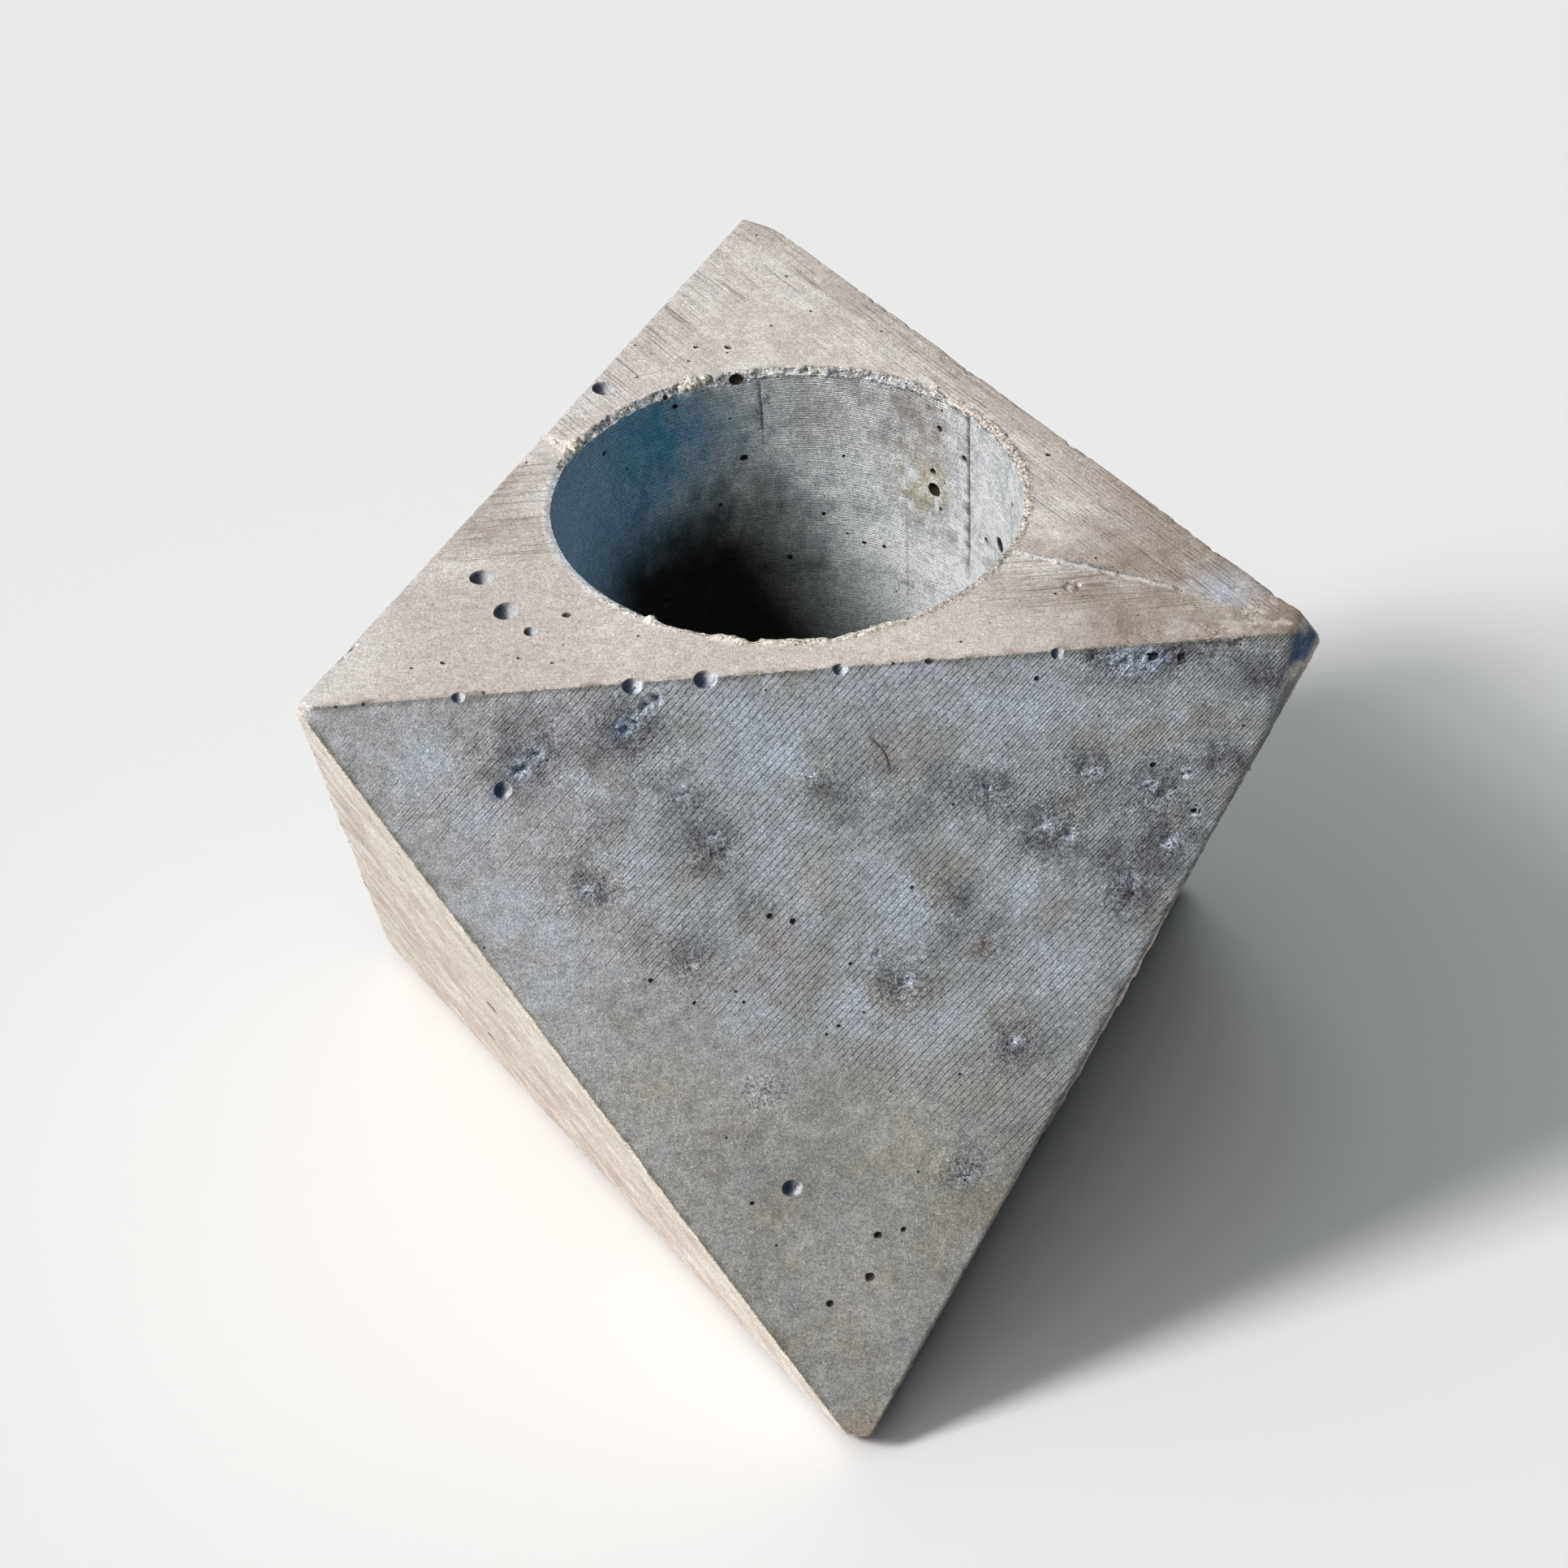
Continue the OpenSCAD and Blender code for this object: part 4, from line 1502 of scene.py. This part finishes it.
class Recipe:
    """A material whose nodes are added one by one."""

    def __init__(self, name):
        self.material = bpy.data.materials.new(name)
        self.material.use_nodes = True
        self.tree = self.material.node_tree
        self.shader = self.tree.nodes["Principled BSDF"]

    def feed(self, socket, value):
        if isinstance(value, bpy.types.NodeSocket):
            self.tree.links.new(value, socket)
        else:
            socket.default_value = value

    def add(self, kind, **inputs):
        node = self.tree.nodes.new("ShaderNode" + kind)
        for name, value in inputs.items():
            self.feed(node.inputs[name.replace("_", " ")], value)
        return node

    def surface(self, **inputs):
        for name, value in inputs.items():
            self.feed(self.shader.inputs[name.replace("_", " ")], value)

    def attribute(self, name):
        node = self.add("Attribute")
        node.attribute_name = name
        return node

    def millimetres(self):
        """The place on the object, in millimetres."""
        place = self.add("TexCoord").outputs["Object"]
        return self.add("Mapping", Vector=place, Scale=(1 / MM,) * 3).outputs[0]

    def maths(self, operation, *values):
        node = self.tree.nodes.new("ShaderNodeMath")
        node.operation = operation
        for socket, value in zip(node.inputs, values):
            self.feed(socket, value)
        return node.outputs[0]

    def times(self, first, *others):
        for other in others:
            first = self.maths("MULTIPLY", first, other)
        return first

    def plus(self, first, *others):
        for other in others:
            first = self.maths("ADD", first, other)
        return first

    def scaled(self, value, factor, added):
        return self.maths("MULTIPLY_ADD", value, factor, added)

    def off(self, value, middle):
        """How far a value lies from a middle one, on either side."""
        return self.maths("ABSOLUTE", self.maths("SUBTRACT", value, middle))

    def band(self, value, low, high, start=0.0, end=1.0):
        """Start below low, end above high, and a smooth change between."""
        node = self.add("MapRange", Value=value, From_Min=low, From_Max=high, To_Min=start, To_Max=end)
        node.interpolation_type = "SMOOTHSTEP"
        return node.outputs["Result"]

    def tint(self, base, other, amount, blend_type="MIX"):
        node = self.tree.nodes.new("ShaderNodeMix")
        node.data_type = "RGBA"
        node.blend_type = blend_type
        for name, value in (("Factor_Float", amount), ("A_Color", base), ("B_Color", other)):
            self.feed(next(i for i in node.inputs if i.identifier == name), value)
        return next(o for o in node.outputs if o.identifier == "Result_Color")

    def speckle(self, place, size, detail=2.0, rough=0.5):
        """Noise from 0 to 1 whose lumps are about size millimetres."""
        node = self.add("TexNoise", Vector=place, Scale=1 / size, Detail=detail, Roughness=rough)
        return node.outputs["Fac"]

    def dots(self, place, spacing, radius, share, shift=(0, 0, 0)):
        """1 inside small round dots: spacing between them, radius, and the share that exist."""
        moved = self.add("Mapping", Vector=place, Location=shift).outputs[0]
        cells = self.add("TexVoronoi", Vector=moved, Scale=1 / spacing)
        edge = radius / spacing
        inside = self.band(cells.outputs["Distance"], edge * 0.6, edge * 1.2, 1.0, 0.0)
        colour = self.add("SeparateColor", Color=cells.outputs["Color"])
        return self.times(inside, self.maths("LESS_THAN", colour.outputs["Red"], share))


print("material helpers ready")

# %% [markdown]
# ## Patterns of the concrete
# A printed line is a narrow groove at every whole number of the map, with a light
# ridge beside it. A fainter groove runs between where the lines are doubled, and
# weak lines have gaps. Brown scratches run along the lines.

# %% Patterns of the concrete
def printed_lines(mix, across, along, lines, doubled):
    """The grooves and the ridges of the printed lines."""
    step = mix.maths("FRACT", across)
    half_step = mix.maths("FRACT", mix.plus(step, 0.5))
    fainter = mix.times(mix.band(mix.off(half_step, 0.5), 0.34, 0.45), doubled, 0.75)
    groove = mix.maths("MAXIMUM", mix.band(mix.off(step, 0.5), 0.33, 0.45), fainter)
    drawn_out = mix.add("CombineXYZ", X=across, Y=mix.times(along, 0.4)).outputs[0]
    broken = mix.speckle(drawn_out, 1.1, 4.0, 0.6)
    gap = mix.scaled(lines, -0.45, 0.66)
    present = mix.band(broken, gap, mix.plus(gap, 0.3))
    groove = mix.times(groove, present, mix.scaled(lines, 0.45, 0.5))
    ridge = mix.band(mix.off(step, 0.24), 0.05, 0.16, 1.0, 0.0)
    ridge = mix.times(ridge, present, mix.band(broken, 0.5, 0.66))
    paired = mix.maths("FRACT", mix.times(across, 2.0))
    between = mix.band(mix.off(paired, 0.5), 0.06, 0.26, 1.0, 0.0)
    between = mix.times(between, doubled, mix.band(broken, 0.46, 0.6))
    return groove, mix.maths("MAXIMUM", ridge, between)


def brown_scratches(mix, across, along, scratches):
    """The scratches with the broad stains under them, and the paler ground rubbed between."""
    stretched = mix.add("CombineXYZ", X=across, Y=mix.times(along, 0.06)).outputs[0]
    broad = mix.band(mix.speckle(stretched, 4.0, 4.0, 0.65), 0.48, 0.66)
    scratched = mix.speckle(stretched, 0.7, 3.0, 0.65)
    thin = mix.scaled(scratches, -0.14, 0.66)
    fine = mix.band(scratched, thin, mix.plus(thin, 0.1))
    streak = mix.times(mix.plus(mix.times(broad, 0.25), mix.times(fine, 0.8)), scratches)
    rubbed = mix.times(mix.band(scratched, 0.34, 0.46, 1.0, 0.0), scratches)
    return streak, rubbed


print("patterns: printed lines, brown scratches")

# %% [markdown]
# ## Cast concrete
# The painted tones are the base. Over them go the printed lines, the scratches, a
# grey grain that is strongest on rough ground, and dots of sand, dirt and pin holes.
# The same patterns feed the bump, so a groove also catches the light as one.

# %% Cast concrete
# How much lighter (+) or darker (-) than its tone each pattern makes the concrete
SHADES = {"pits": -0.8, "crumbs": 0.6, "rubbed": 0.14, "sand": 0.38, "dirt_and_shade": -0.42, "pores": -0.85}
# How far each pattern stands out (+) or lies in (-), in millimetres
HEIGHTS = {"grain": 0.02, "groove": -0.05, "ridge": 0.03, "streak": -0.02, "pores": -0.15, "hollows": 0.30}


def small_patterns(mix, place, rough):
    """Clouds, lumps, grain, and dots of several kinds, some of them only on rough ground."""
    return {
        "clouds": mix.band(mix.speckle(place, 1.2, 4.0, 0.7), 0.3, 0.7, -0.2, 0.22),
        "lumps": mix.band(mix.speckle(place, 0.36, 2.0, 0.7), 0.34, 0.66, -0.18, 0.18),
        "grain": mix.band(mix.speckle(place, 0.15, 2.0, 0.7), 0.30, 0.70),
        "sand": mix.dots(place, 0.40, 0.09, 0.4),
        "dirt_and_shade": mix.dots(place, 0.45, 0.09, 0.4, (3, 5, 7)),
        "pores": mix.dots(place, 2.1, 0.14, 0.3),
        "pits": mix.times(mix.dots(place, 0.40, 0.12, 0.5, (8, 2, 4)), rough),
        "crumbs": mix.times(mix.dots(place, 0.46, 0.13, 0.45, (1, 9, 6)), rough),
        "hollows": mix.times(mix.speckle(place, 0.5, 3.0, 0.6), rough),
    }


def shade_of(mix, found, rough, strength, doubled):
    """How light the concrete is beside its tone, which counts as 1."""
    shade = mix.scaled(mix.plus(found["clouds"], found["lumps"]), strength, 1.0)
    shade = mix.plus(shade, mix.times(found["lumps"], rough, 1.6))
    changes = [
        (mix.plus(found["grain"], -0.5), mix.scaled(rough, 0.5, strength)),
        (found["ridge"], mix.scaled(doubled, 0.4, 0.25)),
    ]
    changes += [(found[name], amount) for name, amount in SHADES.items()]
    for pattern, amount in changes:
        shade = mix.times(shade, mix.scaled(pattern, amount, 1.0))
    return mix.times(shade, mix.scaled(found["groove"], mix.scaled(found["grain"], 0.5, -0.70), 1.06))


def make_concrete():
    mix = Recipe("cast_concrete")
    place = mix.millimetres()
    marks, tones = mix.attribute("marks"), mix.attribute("tone")
    lines, scratches, rough = mix.add("SeparateColor", Color=marks.outputs["Color"]).outputs[:3]
    doubled, strength = marks.outputs["Alpha"], tones.outputs["Alpha"]
    ruled = mix.add("UVMap")
    ruled.uv_map = "mould_lines"
    across, along, _ = mix.add("SeparateXYZ", Vector=ruled.outputs[0]).outputs
    across = mix.plus(across, mix.times(mix.speckle(place, 2.0), 0.35))
    found = small_patterns(mix, place, rough)
    found["groove"], found["ridge"] = printed_lines(mix, across, along, lines, doubled)
    found["streak"], found["rubbed"] = brown_scratches(mix, across, along, scratches)
    shade = shade_of(mix, found, rough, strength, doubled)
    grey = mix.add("CombineColor", Red=shade, Green=shade, Blue=shade).outputs[0]
    colour = mix.tint(tones.outputs["Color"], linear(BROWN * 0.5), mix.times(found["streak"], 0.85))
    height = mix.plus(*[mix.times(found[name], tall) for name, tall in HEIGHTS.items()])
    mix.surface(
        Base_Color=mix.tint(colour, grey, 1.0, "MULTIPLY"),
        Normal=mix.add("Bump", Height=height, Distance=MM).outputs[0],
        Roughness=mix.band(rough, 0.2, 1.0, 0.82, 0.45),
        Specular_IOR_Level=0.15,
    )
    return mix.material


# Edges that turn by more than this stay crisp, in degrees
CRISP = 40


def finish_surface(mesh, material):
    """Scale a mesh to metres, smooth its shading and give it its material."""
    mesh.transform(Matrix.Scale(MM, 4))
    mesh.shade_smooth()
    mesh.set_sharp_from_angle(angle=math.radians(CRISP))
    mesh.materials.clear()
    mesh.materials.append(material)


finish_surface(body, make_concrete())
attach(casting, "root")
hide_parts("planter_body")
print("body: %d triangles" % len(body.polygons))

# %% [markdown]
# ## The cork pads
# A pad is a thin disc punched from a sheet of pressed cork granules and stuck on.
# Punching leaves its edge a little soft, so both rims of the disc are bevelled.
# Cork is light brown with darker granules of a millimetre or so pressed flat.

# %% The cork pads
PAD_RADIUS = 5.0
# Space between a pad and each of the two base arrises beside it
PAD_INSET = 5.0
PAD_SIDES = 96
PAD_SOFTNESS = 0.12
PAD_REACH = CORNER_REACH - (PAD_RADIUS + PAD_INSET) / math.sin(math.radians(30))
PAD_HEADINGS = {"cork_pad_front": 270, "cork_pad_back_left": 150, "cork_pad_back_right": 30}
GRANULE = 0.9
CORK = tone(188, 146, 100)
CORK_DARK = tone(120, 78, 44)
CORK_PALE = tone(214, 178, 132)


def make_cork():
    mix = Recipe("pressed_cork")
    place = mix.millimetres()
    granules = mix.add("TexVoronoi", Vector=place, Scale=1 / GRANULE)
    granule = mix.add("SeparateColor", Color=granules.outputs["Color"]).outputs["Green"]
    joint = mix.band(granules.outputs["Distance"], 0.45, 0.75)
    specks = mix.band(mix.speckle(place, 0.25), 0.62, 0.7)
    colour = mix.tint(linear(CORK), linear(CORK_PALE), mix.band(granule, 0.2, 0.9))
    colour = mix.tint(colour, linear(CORK_DARK), mix.times(joint, 0.7))
    colour = mix.tint(colour, linear(CORK_DARK), mix.times(specks, 0.6))
    height = mix.plus(mix.times(joint, -0.08), mix.times(mix.speckle(place, 0.3), 0.04))
    bump = mix.add("Bump", Height=height, Distance=MM).outputs[0]
    mix.surface(Base_Color=colour, Normal=bump, Roughness=0.85)
    return mix.material


def make_pad(name, heading, cork):
    middle = Vector(on_ring(heading, PAD_REACH, BODY_BASE / 2))
    bm = bmesh.new()
    bmesh.ops.create_cone(bm, cap_ends=True, segments=PAD_SIDES, radius1=PAD_RADIUS,
                          radius2=PAD_RADIUS, depth=BODY_BASE, matrix=Matrix.Translation(middle))
    rims = [e for e in bm.edges if abs(e.verts[0].co.z - e.verts[1].co.z) < 1e-4]
    round_edges(bm, rims, PAD_SOFTNESS, 2)
    pad = as_object(bm, name)
    finish_surface(pad.data, cork)
    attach(pad, "root")
    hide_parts(name.removesuffix("_cork"))


cork = make_cork()
for pad_name, pad_heading in PAD_HEADINGS.items():
    make_pad(pad_name + "_cork", pad_heading, cork)
print("pads at %.2f mm from the axis" % PAD_REACH)
